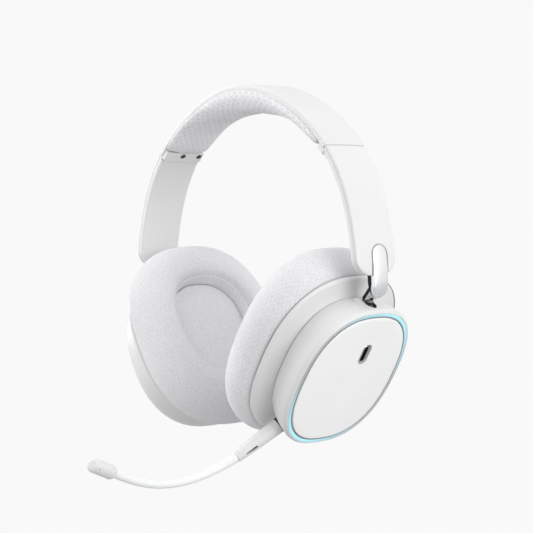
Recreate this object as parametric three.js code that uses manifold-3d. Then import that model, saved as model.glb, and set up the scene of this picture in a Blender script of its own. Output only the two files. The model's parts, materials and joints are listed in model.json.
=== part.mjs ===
// A wireless over-ear gaming headset with a detachable boom microphone.
// Millimetres. +Z is up, +X is the wearer's left, -Y is where the wearer looks.
// The origin is the middle of the headband cushion's underside, where the headset rests on a head.
import * as THREE from "three";
import { mergeVertices } from "three/addons/utils/BufferGeometryUtils.js";
import Module from "manifold-3d";

const wasm = await Module();
wasm.setup();

// ---------- driving dimensions ----------
const GAP = 0.3; // working gap between neighbouring pieces

// Headband: the outer surface is a smooth curve about BAND_CENTRE_Z, given by its radius at some angles
// from straight up, and the pieces below it are layers at a depth under that surface.
const BAND_CENTRE_Z = -63.372;
const BAND_ANGLES = [0, 25, 50, 75, 95, 115];
const BAND_RADII = [76.2, 75.8, 80.7, 86.5, 91.8, 98.6];
const CROWN_HALF_WIDTH = 11.9;
const ARM_HALF_WIDTH = 11.5;
const CROWN_THICK = 1.8;
const SPRING_THICK = 0.8;
const CARRIER_THICK = 1.2;
const ARM_THICK = 4.8;
const SEAM_ANGLE = 57;
const ARM_END_ANGLE = 99.5;
const PAD_THICK = 10.6;
const PAD_TAPER = 4.4; // the cushion is this much thinner at its ends
const PAD_HALF_WIDTH = 13.7;
const PAD_END_ANGLE = 53;

// Slider: a steel strip that slides straight in the arm, bent inwards below it.
const SLIDER_Y = 2.2; // the sliders sit this far behind the headband's middle
const SLIDE_TILT = 4.5; // degrees the slider spreads outwards as it goes down
const STRIP_REF = [88.2, -73.4]; // a point of the strip's middle plane, X and Z
const STRIP_THICK = 1.0;
const STRIP_HALF_WIDTH = 5.0;
const STRIP_TOP_Z = -54;
const BEND_Z = -83.8;
const COVER_HALF_WIDTH = 4.2;
const COVER_TOP_Z = -64.2;
const COVER_THICK = 1.7;
const SLOT_HALF_WIDTH = 4.6;

// Ear cup: local +X points out of the cup, +Z up along it, origin in the middle of the face plate.
// Tilt swings the bottom of the cup inwards, in degrees. The cups hang loose, so their rests differ a little.
const CUP_REST = {
  left: { centre: [67.8, 3.2, -127.9], tilt: 33.4, lean: -2, yaw: 5.8 },
  right: { centre: [67.8, 3.8, -129.2], tilt: 33.8, lean: -3.6, yaw: 6.2 },
};
const OVAL_EXPONENT = 2.46;
const BODY_HALF = [32.4, 38.8];
const OVAL_POINTS = 28;
const VALLEY_X = -16.5;
const BAFFLE_BACK_X = -21.8;
const CUSHION_HALF = [39, 50.1];
const CUSHION_SHIFT = [-1.2, -0.8];
const PIVOT = [-8, 0, 35.5];
const DRIVER_R = 18;
const PORT_YZ = [3, 14.4];

// Microphone, in the left cup's frame: it leaves the housing forwards and down, then bends up.
const MIC_X = -10.5;
const MIC_ROOT = [-19.2, -31.4];
const MIC_ANGLE = 41.2;
const MIC_BASE_LENGTH = 27;
const NECK_LENGTH = 77;
const NECK_TURN = 60;
const NECK_START_ANGLE = 33;
const NECK_R = 1.9;
const CAPSULE_LENGTH = 15.5;
const CAPSULE_R = 3.3;

// Controls on the left cup's rear edge, and the charging socket's straight length in its face plate.
const WHEEL_R = 7.4;
const PORT_STRAIGHT = 5.8;

const rad = THREE.MathUtils.degToRad;
const vec = (x, y, z) => new THREE.Vector3(x, y, z);

// ---------- materials ----------
const white = { color: 0xf0f1f3, roughness: 0.45, metalness: 0 };
const black = { color: 0x17181a, roughness: 0.6, metalness: 0 };
const fabric = { color: 0xd2d5da, roughness: 0.95, metalness: 0 };
const steel = { color: 0x2a2b2d, roughness: 0.4, metalness: 0.8 };
const bright = { color: 0xb8bbc0, roughness: 0.3, metalness: 0.9 };
const glow = { color: 0xc8eef4, roughness: 0.3, metalness: 0 };
const board = { color: 0x1f5a3a, roughness: 0.6, metalness: 0 };

function piece(name, geometry, material) {
  const mesh = new THREE.Mesh(geometry, new THREE.MeshStandardMaterial(material));
  mesh.name = name;
  return mesh;
}

// ---------- solids ----------
function signedVolume(points, index) {
  let sum = 0;
  for (let i = 0; i < index.length; i += 3) {
    const [a, b, c] = [points[index[i]], points[index[i + 1]], points[index[i + 2]]];
    sum += a.dot(b.clone().cross(c));
  }
  return sum / 6;
}

// A closed solid through rings of equal length: capped at both ends, or joined end to start.
function loft(rings, outline, joined = false) {
  const count = rings[0].length;
  const points = rings.flat();
  const index = [];
  const spans = joined ? rings.length : rings.length - 1;
  for (let i = 0; i < spans; i++) {
    const here = i * count;
    const next = ((i + 1) % rings.length) * count;
    for (let j = 0; j < count; j++) {
      const k = (j + 1) % count;
      index.push(here + j, here + k, next + k, here + j, next + k, next + j);
    }
  }
  if (!joined) {
    const last = (rings.length - 1) * count;
    const turnsBack = THREE.ShapeUtils.area(outline) < 0;
    for (const face of THREE.ShapeUtils.triangulateShape(outline, [])) {
      const corners = face.map((i) => outline[i]);
      const [a, b, c] = THREE.ShapeUtils.area(corners) < 0 === turnsBack ? face : face.reverse();
      index.push(c, b, a, last + a, last + b, last + c);
    }
  }
  if (signedVolume(points, index) < 0) index.reverse();
  const geometry = new THREE.BufferGeometry().setFromPoints(points);
  geometry.setIndex(index);
  geometry.computeVertexNormals();
  return geometry;
}

function toManifold(geometry) {
  const bare = new THREE.BufferGeometry();
  bare.setAttribute("position", geometry.getAttribute("position").clone());
  if (geometry.index) bare.setIndex(geometry.index.clone());
  const merged = mergeVertices(bare, 1e-4);
  return new wasm.Manifold(
    new wasm.Mesh({
      numProp: 3,
      vertProperties: new Float32Array(merged.attributes.position.array),
      triVerts: new Uint32Array(merged.index.array),
    }),
  );
}

function fromManifold(solid) {
  const mesh = solid.getMesh();
  const positions = [];
  for (let i = 0; i < mesh.numVert; i++) {
    const at = i * mesh.numProp;
    positions.push(...mesh.vertProperties.subarray(at, at + 3));
  }
  const geometry = new THREE.BufferGeometry();
  geometry.setAttribute("position", new THREE.Float32BufferAttribute(positions, 3));
  geometry.setIndex(Array.from(mesh.triVerts));
  geometry.computeVertexNormals();
  return geometry;
}

function cut(base, ...tools) {
  let solid = toManifold(base);
  for (const tool of tools) solid = solid.subtract(toManifold(tool));
  return fromManifold(solid);
}

function join(...pieces) {
  let solid = toManifold(pieces[0]);
  for (const other of pieces.slice(1)) solid = solid.add(toManifold(other));
  return fromManifold(solid);
}

function box(size, centre) {
  return new THREE.BoxGeometry(...size).translate(...centre);
}

// A cylinder from one point to another.
function rod(from, to, r, segments = 20, rTo = r) {
  const a = vec(...from);
  const b = vec(...to);
  const along = b.clone().sub(a);
  const geometry = new THREE.CylinderGeometry(rTo, r, along.length(), segments);
  const turn = new THREE.Quaternion().setFromUnitVectors(vec(0, 1, 0), along.clone().normalize());
  geometry.applyQuaternion(turn);
  return geometry.translate(...a.add(b).multiplyScalar(0.5).toArray());
}

// ---------- headband curve ----------
// Catmull-Rom through the mirrored control radii gives the outer surface at any angle.
const bandCurve = new THREE.CatmullRomCurve3(
  [...BAND_ANGLES.slice(1).map((a, i) => [-a, BAND_RADII[i + 1]]).reverse(),
    ...BAND_ANGLES.map((a, i) => [a, BAND_RADII[i]])].map(([a, r]) =>
    vec(r * Math.sin(rad(a)), 0, BAND_CENTRE_Z + r * Math.cos(rad(a)))),
  false,
  "centripetal",
);
const BAND_SAMPLES = bandCurve.getPoints(400);

// The point on the outer surface at an angle from straight up, and the outward normal there.
function bandAt(angle) {
  const bearing = (p) => Math.atan2(p.x, p.z - BAND_CENTRE_Z);
  const goal = rad(angle);
  let i = BAND_SAMPLES.findIndex((p) => bearing(p) >= goal);
  i = Math.min(Math.max(i, 1), BAND_SAMPLES.length - 1);
  const [p, q] = [BAND_SAMPLES[i - 1], BAND_SAMPLES[i]];
  const share = (goal - bearing(p)) / (bearing(q) - bearing(p));
  const before = BAND_SAMPLES[Math.max(i - 6, 0)];
  const after = BAND_SAMPLES[Math.min(i + 5, BAND_SAMPLES.length - 1)];
  const along = after.clone().sub(before).normalize();
  return { point: p.clone().lerp(q, share), normal: vec(-along.z, 0, along.x) };
}

// A piece swept along the headband. outlineAt(angle) gives [y, depth] points under the outer surface.
function bandPiece(from, to, steps, outlineAt) {
  const rings = [];
  for (let i = 0; i <= steps; i++) {
    const angle = from + ((to - from) * i) / steps;
    const { point, normal } = bandAt(angle);
    rings.push(outlineAt(angle).map(([y, depth]) => point.clone().addScaledVector(normal, -depth).setY(y)));
  }
  return loft(rings, outlineAt(from).map(([y, depth]) => new THREE.Vector2(y, -depth)));
}

// A flat band layer with bevelled edges.
const layer = (half, top, bottom, bevel = 0.4) => [
  [-half, top + bevel], [-half + bevel, top], [half - bevel, top], [half, top + bevel],
  [half, bottom - bevel], [half - bevel, bottom], [-half + bevel, bottom], [-half, bottom - bevel],
];

const SPRING_TOP = CROWN_THICK + GAP;
const CARRIER_TOP = SPRING_TOP + SPRING_THICK + GAP;
const CARRIER_BOTTOM = CARRIER_TOP + CARRIER_THICK;

// The cushion's cross-section: flat on top with a channel for the carrier, rounded below.
function padOutline(angle) {
  // The thickness falls off along a hyperbola: round over the middle, then straight.
  const drop = (a) => Math.hypot(a, 8) - 8;
  const thick = PAD_THICK - (PAD_TAPER * drop(angle)) / drop(PAD_END_ANGLE);
  const half = PAD_HALF_WIDTH - 1.2 * (Math.abs(angle) / PAD_END_ANGLE) ** 8;
  const top = CROWN_THICK + 0.4;
  const channel = CARRIER_BOTTOM + GAP;
  const bottom = top + thick;
  return [
    [-half + 0.2, top + 0.6], [-half + 0.9, top], [-9.8, top], [-9.8, channel],
    [9.8, channel], [9.8, top], [half - 0.9, top], [half - 0.2, top + 0.6],
    [half, top + thick * 0.3], [half - 0.9, top + thick * 0.62], [half - 3.6, bottom - 0.9],
    [half - 7, bottom], [-half + 7, bottom], [-half + 3.6, bottom - 0.9],
    [-half + 0.9, top + thick * 0.62], [-half, top + thick * 0.3],
  ];
}

function screwGeometry(at, normal, length, headR) {
  const head = rod(at.toArray(), at.clone().addScaledVector(normal, -1).toArray(), headR, 16);
  const shank = rod(
    at.clone().addScaledVector(normal, -0.9).toArray(),
    at.clone().addScaledVector(normal, -length).toArray(), 0.8, 12);
  return join(head, shank);
}

const CLAMP_ANGLES = [53.8, 58.2];
const SCREW_ANGLE = 55.5;
const SCREW_YS = [-0.9, 9.0];

function buildHeadband() {
  const group = new THREE.Group();
  const crown = bandPiece(-SEAM_ANGLE, SEAM_ANGLE, 30, () => layer(CROWN_HALF_WIDTH, 0, CROWN_THICK, 0.6));
  group.add(piece("crown_shell", crown, white));

  const spring = bandPiece(-66, 66, 30, () => layer(6, SPRING_TOP, SPRING_TOP + SPRING_THICK, 0.1));
  const carrier = bandPiece(-53.6, 53.6, 26, () => layer(9.5, CARRIER_TOP, CARRIER_BOTTOM, 0.2));
  const pad = bandPiece(-PAD_END_ANGLE, PAD_END_ANGLE, 27, padOutline);
  group.add(piece("headband_cushion", pad, fabric));
  group.add(piece("cushion_carrier", carrier, black));

  const screwHoles = [];
  for (const [side, sign] of [["left", 1], ["right", -1]]) {
    const [a, b] = CLAMP_ANGLES.map((angle) => sign * angle);
    const holes = [];
    const seat = bandAt(sign * SCREW_ANGLE);
    for (const [tag, y] of [["front", SCREW_YS[0]], ["rear", SCREW_YS[1]]]) {
      const at = seat.point.clone().addScaledVector(seat.normal, -(ARM_THICK + 1.0)).setY(y);
      const inward = seat.normal.clone().negate();
      group.add(piece(`${side}_clamp_screw_${tag}`, screwGeometry(at, inward, 3.2, 1.5), steel));
      const out = (d) => at.clone().addScaledVector(seat.normal, d).toArray();
      holes.push(rod(out(-1), out(1.3), 1.8, 16));
      holes.push(rod(out(-1), out(6), 1.1, 12));
    }
    screwHoles.push(...holes);
    const plate = bandPiece(Math.min(a, b), Math.max(a, b), 4,
      () => layer(10.9, CARRIER_TOP, ARM_THICK + 1.1, 0.5));
    group.add(piece(`${side}_clamp_plate`, cut(plate, ...holes), white));
    group.add(...buildArm(side, sign));
  }
  group.add(piece("spring_strip", cut(spring, ...screwHoles), steel));
  return group;
}

// ---------- slider geometry, in the left side's XZ plane ----------
const slideDir = vec(Math.sin(rad(SLIDE_TILT)), 0, -Math.cos(rad(SLIDE_TILT)));
const slideOut = vec(Math.cos(rad(SLIDE_TILT)), 0, Math.sin(rad(SLIDE_TILT)));

// A point of the strip's middle plane at height z, pushed outwards by `out`.
function onStrip(z, out = 0, y = 0) {
  const along = (STRIP_REF[1] - z) / Math.cos(rad(SLIDE_TILT));
  const start = vec(STRIP_REF[0], SLIDER_Y + y, STRIP_REF[1]);
  return start.addScaledVector(slideDir, along).addScaledVector(slideOut, out);
}

// A straight bar along the slide, from height z0 to z1, between two outward distances.
function slideBar(z0, z1, outA, outB, half) {
  const ring = (z) => [[-half, outA], [half, outA], [half, outB], [-half, outB]]
    .map(([y, out]) => onStrip(z, out, y));
  const outline = [[-half, outA], [half, outA], [half, outB], [-half, outB]]
    .map(([y, out]) => new THREE.Vector2(y, out));
  return loft([ring(z0), ring(z1)], outline);
}

function mirrored(geometry) {
  const flipped = geometry.clone();
  flipped.scale(-1, 1, 1);
  const index = Array.from(flipped.index.array).reverse();
  flipped.setIndex(index);
  flipped.computeVertexNormals();
  return flipped;
}

// Rounds the arm's lower end: everything outside a half-disc on the end is cut away.
function armEndCutter() {
  const end = bandAt(ARM_END_ANGLE).point.z;
  const shape = new THREE.Shape();
  const half = ARM_HALF_WIDTH;
  const corner = 8.6;
  shape.moveTo(-half - 4, end + corner);
  shape.lineTo(-half, end + corner);
  shape.absarc(-half + corner, end + corner, corner, Math.PI, 1.5 * Math.PI, false);
  shape.absarc(half - corner, end + corner, corner, 1.5 * Math.PI, 2 * Math.PI, false);
  shape.lineTo(half + 4, end + corner);
  shape.lineTo(half + 4, end - 12);
  shape.lineTo(-half - 4, end - 12);
  const block = new THREE.ExtrudeGeometry(shape, { depth: 40, bevelEnabled: false, curveSegments: 7 });
  // The shape's plane becomes YZ and the depth runs along X.
  block.applyMatrix4(new THREE.Matrix4().makeBasis(vec(0, 1, 0), vec(0, 0, 1), vec(1, 0, 0)));
  return block.translate(65, 0, 0);
}

function buildArm(side, sign) {
  const sweep = (top, bottom, bevel, half) => bandPiece(SEAM_ANGLE + 0.3, ARM_END_ANGLE, 14,
    () => layer(half, top, bottom, bevel));
  const channel = slideBar(STRIP_TOP_Z + 1, -100, -0.8, 0.8, STRIP_HALF_WIDTH + 0.4);
  // The slot that shows the slider's cover: round at its top, open at the arm's end.
  const slotTop = COVER_TOP_Z + 0.4 - SLOT_HALF_WIDTH;
  const slot = join(slideBar(slotTop, -100, 0, 8, SLOT_HALF_WIDTH),
    rod(onStrip(slotTop).toArray(), onStrip(slotTop, 8).toArray(), SLOT_HALF_WIDTH, 28));
  const outer = cut(sweep(0, CROWN_THICK, 0.6, ARM_HALF_WIDTH), armEndCutter(), channel, slot);
  const springPocket = bandPiece(SEAM_ANGLE - 1, 67, 6, () => layer(6.4, 1.8, CARRIER_TOP, 0.05));
  const platePocket = bandPiece(SEAM_ANGLE - 1, CLAMP_ANGLES[1] + 0.3, 3, () => layer(13, CARRIER_TOP - 0.3, 9, 0.05));
  const inner = cut(sweep(CROWN_THICK + GAP, ARM_THICK, 0.5, ARM_HALF_WIDTH),
    armEndCutter(), channel, slot, springPocket, platePocket);
  const place = (g) => (sign < 0 ? mirrored(g) : g);
  return [
    piece(`${side}_arm_outer_cover`, place(outer), white),
    piece(`${side}_arm_inner_cover`, place(inner), white),
  ];
}

// ---------- ear cup frame ----------
// The cup's place at rest, before the right side is mirrored.
function cupMatrix(side) {
  const rest = CUP_REST[side];
  const tilt = new THREE.Matrix4().makeRotationY(rad(rest.tilt));
  const lean = new THREE.Matrix4().makeRotationX(-rad(rest.lean));
  const yaw = new THREE.Matrix4().makeRotationZ(rad(rest.yaw));
  return yaw.multiply(tilt).multiply(lean).setPosition(...rest.centre);
}

// ---------- slider ----------
// The strip runs down to the bend, then a leg follows the cup's own upright to above its top.
function buildSlider(side) {
  const group = new THREE.Group();
  const bend = onStrip(BEND_Z);
  const cup = cupMatrix(side);
  const pivot = vec(...PIVOT).applyMatrix4(cup);
  const up = vec(0, 0, 1).transformDirection(cup);
  const legEnd = pivot.clone().addScaledVector(up, 6.6);
  const sideways = vec(0, 1, 0);
  const ringAt = (centre, out, half, thick) => [[-half, -thick], [half, -thick], [half, thick], [-half, thick]]
    .map(([y, t]) => centre.clone().addScaledVector(sideways, y).addScaledVector(out, t));
  const legDir = legEnd.clone().sub(bend).normalize();
  const legOut = vec(-legDir.z, 0, legDir.x).normalize();
  const midOut = slideOut.clone().add(legOut).normalize();
  const square = [[-1, -1], [1, -1], [1, 1], [-1, 1]].map(([a, b]) => new THREE.Vector2(a, b));
  const half = STRIP_HALF_WIDTH;
  const t = STRIP_THICK / 2;
  const strip = loft([
    ringAt(onStrip(STRIP_TOP_Z), slideOut, half - 1, t),
    ringAt(onStrip(STRIP_TOP_Z - 1.5), slideOut, half, t),
    ringAt(onStrip(BEND_Z + 1.5), slideOut, half, t),
    ringAt(bend, midOut, half - 0.4, t * 1.3),
    ringAt(bend.clone().lerp(legEnd, 0.35), legOut, half - 1, t * 1.8),
    ringAt(legEnd, legOut, half - 1.4, t * 2.2),
  ], square);
  group.add(piece(`${side}_slider_strip`, strip, steel));
  group.add(piece(`${side}_slider_cover`, coverGeometry(), white));
  return group;
}

// The pill-shaped cover on the strip: straight, then curling inwards at its lower end.
function coverGeometry() {
  const inner = STRIP_THICK / 2 + 0.3;
  const outer = inner + COVER_THICK;
  const straight = 19.4;
  const curl = 6.4;
  const curlR = 9;
  const half = COVER_HALF_WIDTH;
  const total = straight + curl;
  const rings = [];
  const stations = [0.05, 0.5, 1.3, 2.6, 4.2, 12, straight, straight + 1.4, straight + 2.6, straight + 3.8,
    straight + 5.1, straight + 5.9, straight + 6.35];
  for (const s of stations) {
    const fromEnd = Math.min(s, total - s);
    const width = half * Math.sqrt(Math.max(1 - Math.max(1 - fromEnd / half, 0) ** 2, 0));
    const turn = Math.max(s - straight, 0) / curlR;
    const base = onStrip(COVER_TOP_Z).addScaledVector(slideDir, Math.min(s, straight));
    base.addScaledVector(slideDir, curlR * Math.sin(turn));
    base.addScaledVector(slideOut, curlR * (Math.cos(turn) - 1));
    const out = slideOut.clone().applyAxisAngle(vec(0, 1, 0), turn);
    rings.push([[-1, inner], [1, inner], [1, outer - 0.5], [0.86, outer], [-0.86, outer], [-1, outer - 0.5]]
      .map(([y, o]) => base.clone().addScaledVector(out, o).setY(SLIDER_Y + y * width)));
  }
  const outline = [[-1, inner], [1, inner], [1, outer - 0.5], [0.86, outer], [-0.86, outer], [-1, outer - 0.5]]
    .map(([y, o]) => new THREE.Vector2(y * half, o));
  return loft(rings, outline);
}

// ---------- knuckle: a post on the slider's leg that swivels, with an eye for the tilt pin ----------
function buildKnuckle(side) {
  const group = new THREE.Group();
  const [px, , pz] = PIVOT;
  const post = rod([px, 0, pz + 5.8], [px, 0, pz + 1], 1.8, 16);
  const collar = rod([px, 0, pz + 6], [px, 0, pz + 5.2], 2.4, 16);
  const eye = rod([px, -2.2, pz], [px, 2.2, pz], 3, 18);
  const bore = rod([px, -4, pz], [px, 4, pz], 1.25, 12);
  group.add(piece(`${side}_knuckle`, cut(join(post, collar, eye), bore), bright));
  group.add(piece(`${side}_tilt_pin`, rod([px, -4.4, pz], [px, 4.4, pz], 1.2 - 0.05, 12), bright));
  return group;
}

// ---------- ear cup pieces ----------
// A ring of the cup's oval at depth x, with half width and half height less than `half` by the insets.
function ovalRing(x, insetY, insetZ, half, [shiftY, shiftZ]) {
  const power = (v) => Math.sign(v) * Math.abs(v) ** (2 / OVAL_EXPONENT);
  return Array.from({ length: OVAL_POINTS }, (_, i) => {
    const a = (2 * Math.PI * (i + 0.5)) / OVAL_POINTS;
    return vec(x, shiftY + (half[0] - insetY) * power(Math.cos(a)), shiftZ + (half[1] - insetZ) * power(Math.sin(a)));
  });
}

// A solid through ovals given as [x, inset] or [x, insetY, insetZ]: a closed loop, or capped at both ends.
function ovalSolid(profile, joined, half = BODY_HALF, shift = [0, 0]) {
  const rings = profile.map(([x, inset, insetZ = inset]) => ovalRing(x, inset, insetZ, half, shift));
  return loft(rings, rings[0].map((p) => new THREE.Vector2(p.y, p.z)), joined);
}

// A round piece about an axis parallel to X: profile of [x, r], starting and ending on the axis.
function turned(profile, y, z, segments = 24) {
  const lathe = new THREE.LatheGeometry(profile.map(([x, r]) => new THREE.Vector2(r, x)), segments);
  lathe.rotateZ(-Math.PI / 2);
  const solid = mergeVertices(lathe.translate(0, y, z), 1e-4);
  const points = [];
  for (let i = 0; i < solid.attributes.position.count; i++) {
    points.push(vec().fromBufferAttribute(solid.attributes.position, i));
  }
  const index = Array.from(solid.index.array);
  if (signedVolume(points, index) < 0) solid.setIndex(index.reverse());
  return solid;
}

const micDir = (angle) => vec(0, -Math.cos(rad(angle)), -Math.sin(rad(angle)));
const micRoot = vec(MIC_X, ...MIC_ROOT);

const EDGE_X = -10; // the controls sit at this depth on the rear edge
const EDGE_INSET = 1.1; // the housing's inset from its widest outline there
const WHEEL_AT = [-10, 25.9, -5];
const POWER_Z = -23;
const MUTE_Z = 12;

// The rear edge's surface at a height: its point and the turn about X that brings +Y to its normal.
function rearEdge(z) {
  const [halfY, halfZ] = BODY_HALF.map((half) => half - EDGE_INSET);
  const share = Math.abs(z) / halfZ;
  const y = halfY * (1 - share ** OVAL_EXPONENT) ** (1 / OVAL_EXPONENT);
  const steep = (v, half) => (v / half) ** (OVAL_EXPONENT - 1) / half;
  const turn = Math.atan2(Math.sign(z) * steep(Math.abs(z), halfZ), steep(y, halfY));
  return { y, turn };
}

// Boxes of a button, or of its hole, given as [size, distance of the middle out of the surface].
function onRearEdge(z, boxes) {
  const { y, turn } = rearEdge(z);
  const shapes = boxes.map(([size, out]) => box(size, [0, out, 0]));
  const solid = shapes.length > 1 ? join(...shapes) : shapes[0];
  return solid.rotateX(turn).translate(EDGE_X, y, z);
}

function housingGeometry(side) {
  const body = ovalSolid([
    [-0.5, 1.45], [-1.1, 0.55], [-2.4, 0], [-6.5, 0.3], [-11.5, 1.4], [VALLEY_X, 3.2],
    [VALLEY_X, 5.3], [-11.5, 3.6], [-5.4, 2.6], [-5.4, 5.6], [-3.5, 5.6], [-3.5, 1.45],
  ], true);
  const [px, , pz] = PIVOT;
  // A pivot block inside the top, slotted for the eye and bored for the pin.
  const block = box([8.4, 12.6, 6.6], [px, 0, pz - 0.5]);
  const mouth = rod([px + 0.9, 0, pz + 1.6], [px + 0.9, 0, pz + 9], 4.1, 20);
  const slot = join(box([8.2, 5.2, 4], [px + 0.9, 0, pz + 1]), rod([px, -2.6, pz], [px, 2.6, pz], 4.1, 18), mouth);
  const pinHole = rod([px, -4.8, pz], [px, 4.8, pz], 1.35, 12);
  const tools = [slot, pinHole];
  if (side === "left") {
    const away = micDir(MIC_ANGLE);
    const span = (d) => micRoot.clone().addScaledVector(away, d).toArray();
    tools.push(rod(span(-8), span(4), 3.9, 18));
    tools.push(box([4.4, 16, 2 * WHEEL_R + 0.8], [WHEEL_AT[0], WHEEL_AT[1] + 4, WHEEL_AT[2]]));
    tools.push(onRearEdge(POWER_Z, [[[5.0, 12, 7.0], -1]]));
    tools.push(onRearEdge(MUTE_Z, [[[5.0, 12, 9.0], -1]]));
  }
  return cut(join(body, block), ...tools);
}

function baffleGeometry() {
  const skirt = ovalSolid([
    [-19.6, 7.0], [VALLEY_X - 0.3, 5.5], [VALLEY_X - 0.3, 3.4], [-17.4, 2.4], [-18.2, 0.2], [-18.9, -2.6],
    [-19.4, -4.9], [-20.1, -5.5], [-21.2, -5.4], [BAFFLE_BACK_X, -4.6],
  ], false);
  return cut(skirt, rod([-30, 0, 0], [-10, 0, 0], DRIVER_R + 0.4, 28));
}

// The cushion's roll is thicker at the top and bottom than at the front and rear.
const CUSHION_BACK_X = BAFFLE_BACK_X - GAP;
const CUSHION_PROFILE = [
  [CUSHION_BACK_X, 4.0], [-23.6, 2.0], [-27, 0.5], [-32, 0], [-38, 1.2], [-43.5, 4.6], [-47.4, 9.2, 10],
  [-48.6, 12.8, 15], [-47.4, 15.8, 19.4], [-44, 17.6, 22], [-34, 18.2, 22.6], [CUSHION_BACK_X, 17, 21.4],
];

function buildCup(side) {
  const group = new THREE.Group();
  const name = (part) => `${side}_${part}`;
  group.add(piece(name("cup_housing"), housingGeometry(side), white));
  group.add(piece(name("baffle"), baffleGeometry(), white));

  const plate = ovalSolid([[0, 4.2], [-0.5, 3.8], [-3.1, 3.7]], false);
  // The charging socket's opening narrows to just over the socket's own shell.
  const portHole = pillSolid([[1, 3.6], [0, 2.6], [-0.7, 1.9], [-5, 1.9]], PORT_STRAIGHT);
  group.add(piece(name("face_plate"), side === "left" ? cut(plate, portHole) : plate, white));
  const ring = ovalSolid([[-0.3, 1.75], [-3.2, 1.75], [-3.2, 3.4], [-0.3, 3.4]], true);
  group.add(piece(name("light_ring"), ring, glow));

  const basket = turned([
    [-10.6, 0], [-10.6, 10.5], [-11.2, 11], [-13, 11], [-13, 17], [-13.8, DRIVER_R], [-22.1, DRIVER_R],
    [-22.1, 19.9], [-23.6, 19.9], [-23.6, 18.6], [-22.6, 18.2], [-22.6, 0],
  ], 0, 0, 28);
  group.add(piece(name("driver_basket"), basket, black));
  const cone = turned([
    [-22.9, 0], [-22.9, 17.6], [-23.3, 17.8], [-23.6, 16], [-23.4, 9], [-24.6, 5], [-25.2, 0],
  ], 0, 0, 28);
  group.add(piece(name("diaphragm"), cone, bright));
  const screen = ovalSolid([[-29.8, 18.6, 23], [-31.2, 18.6, 23]], false, CUSHION_HALF, CUSHION_SHIFT);
  group.add(piece(name("ear_screen"), screen, fabric));
  const cushion = ovalSolid(CUSHION_PROFILE, true, CUSHION_HALF, CUSHION_SHIFT);
  group.add(piece(name("ear_cushion"), cushion, fabric));
  return group;
}

// An upright pill-shaped solid at the charging socket, given as [x, radius] with a shared straight length.
function pillSolid(profile, straight) {
  const sides = 20;
  const ring = (x, r) => Array.from({ length: sides }, (_, i) => {
    const a = (2 * Math.PI * (i + 0.5)) / sides;
    const lift = (Math.sign(Math.sin(a)) * straight) / 2;
    return vec(x, PORT_YZ[0] + r * Math.cos(a), PORT_YZ[1] + lift + r * Math.sin(a));
  });
  const rings = profile.map(([x, r]) => ring(x, r));
  return loft(rings, rings[0].map((p) => new THREE.Vector2(p.y, p.z)));
}

function buildLeftElectronics() {
  const [y, z] = PORT_YZ;
  const shell = cut(pillSolid([[-7.6, 1.6], [-0.5, 1.6]], PORT_STRAIGHT),
    pillSolid([[-7.2, 1.25], [2, 1.25]], PORT_STRAIGHT));
  const group = new THREE.Group();
  group.add(piece("usb_c_shell", shell, bright));
  group.add(piece("usb_c_tongue", box([5.6, 0.7, 6.6], [-4.1, y, z]), black));
  group.add(piece("control_board", box([1.2, 22, 26], [-8.6, 3, 11]), board));
  return group;
}

function buildControls() {
  const group = new THREE.Group();
  const [wx, wy, wz] = WHEEL_AT;
  const along = (x, r) => rod([wx - x, wy, wz], [wx + x, wy, wz], r, 24);
  group.add(piece("volume_wheel", cut(along(1.8, WHEEL_R), along(3, 1.07)), black));
  group.add(piece("wheel_axle", along(3.2, 1), bright));
  // A cap through the wall, with a wider foot inside that keeps it in.
  const button = (name, z, height) => {
    const cap = [[4.4, 6.2, height], -1.9];
    const foot = [[6.2, 1.0, height + 1.4], -5];
    return piece(name, onRearEdge(z, [cap, foot]), black);
  };
  group.add(button("power_button", POWER_Z, 6.4));
  group.add(button("mic_mute_button", MUTE_Z, 8.4));
  return group;
}

// ---------- microphone ----------
// The neck's centre line as points and headings, from the end of the rigid base.
function neckLine() {
  const steps = 24;
  const points = [];
  let at = micRoot.clone().addScaledVector(micDir(MIC_ANGLE), MIC_BASE_LENGTH);
  for (let i = 0; i <= steps; i++) {
    const share = i / steps;
    const angle = NECK_START_ANGLE - NECK_TURN * Math.sin((Math.PI / 2) * share) ** 1.3;
    points.push({ at: at.clone(), angle });
    at = at.clone().addScaledVector(micDir(angle), NECK_LENGTH / steps);
  }
  return points;
}

// One segment of the neck, along a stretch of its centre line. Its ends stop short of the hinges and
// narrow towards them, so that neighbours stay clear as the neck bends.
function neckTube(line, r) {
  const sides = 12;
  const last = line.length - 1;
  const station = (i, ahead, radius) => {
    const { at, angle } = line[i];
    return { at: at.clone().addScaledVector(micDir(angle), ahead), angle, radius };
  };
  const stations = [
    station(0, GAP / 2, 0.55 * r), station(0, 0.6, r),
    ...line.slice(1, -1).map((_, i) => station(i + 1, 0, r)),
    station(last, -0.6, r), station(last, -GAP / 2, 0.55 * r),
  ];
  const around = Array.from({ length: sides }, (_, i) => (2 * Math.PI * i) / sides);
  const rings = stations.map(({ at, angle, radius }) => around.map((a) =>
    at.clone().addScaledVector(micDir(angle + 90), radius * Math.cos(a)).add(vec(radius * Math.sin(a), 0, 0))));
  return loft(rings, around.map((a) => new THREE.Vector2(Math.cos(a), Math.sin(a))));
}

const NECK_SEGMENTS = 4;

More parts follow.
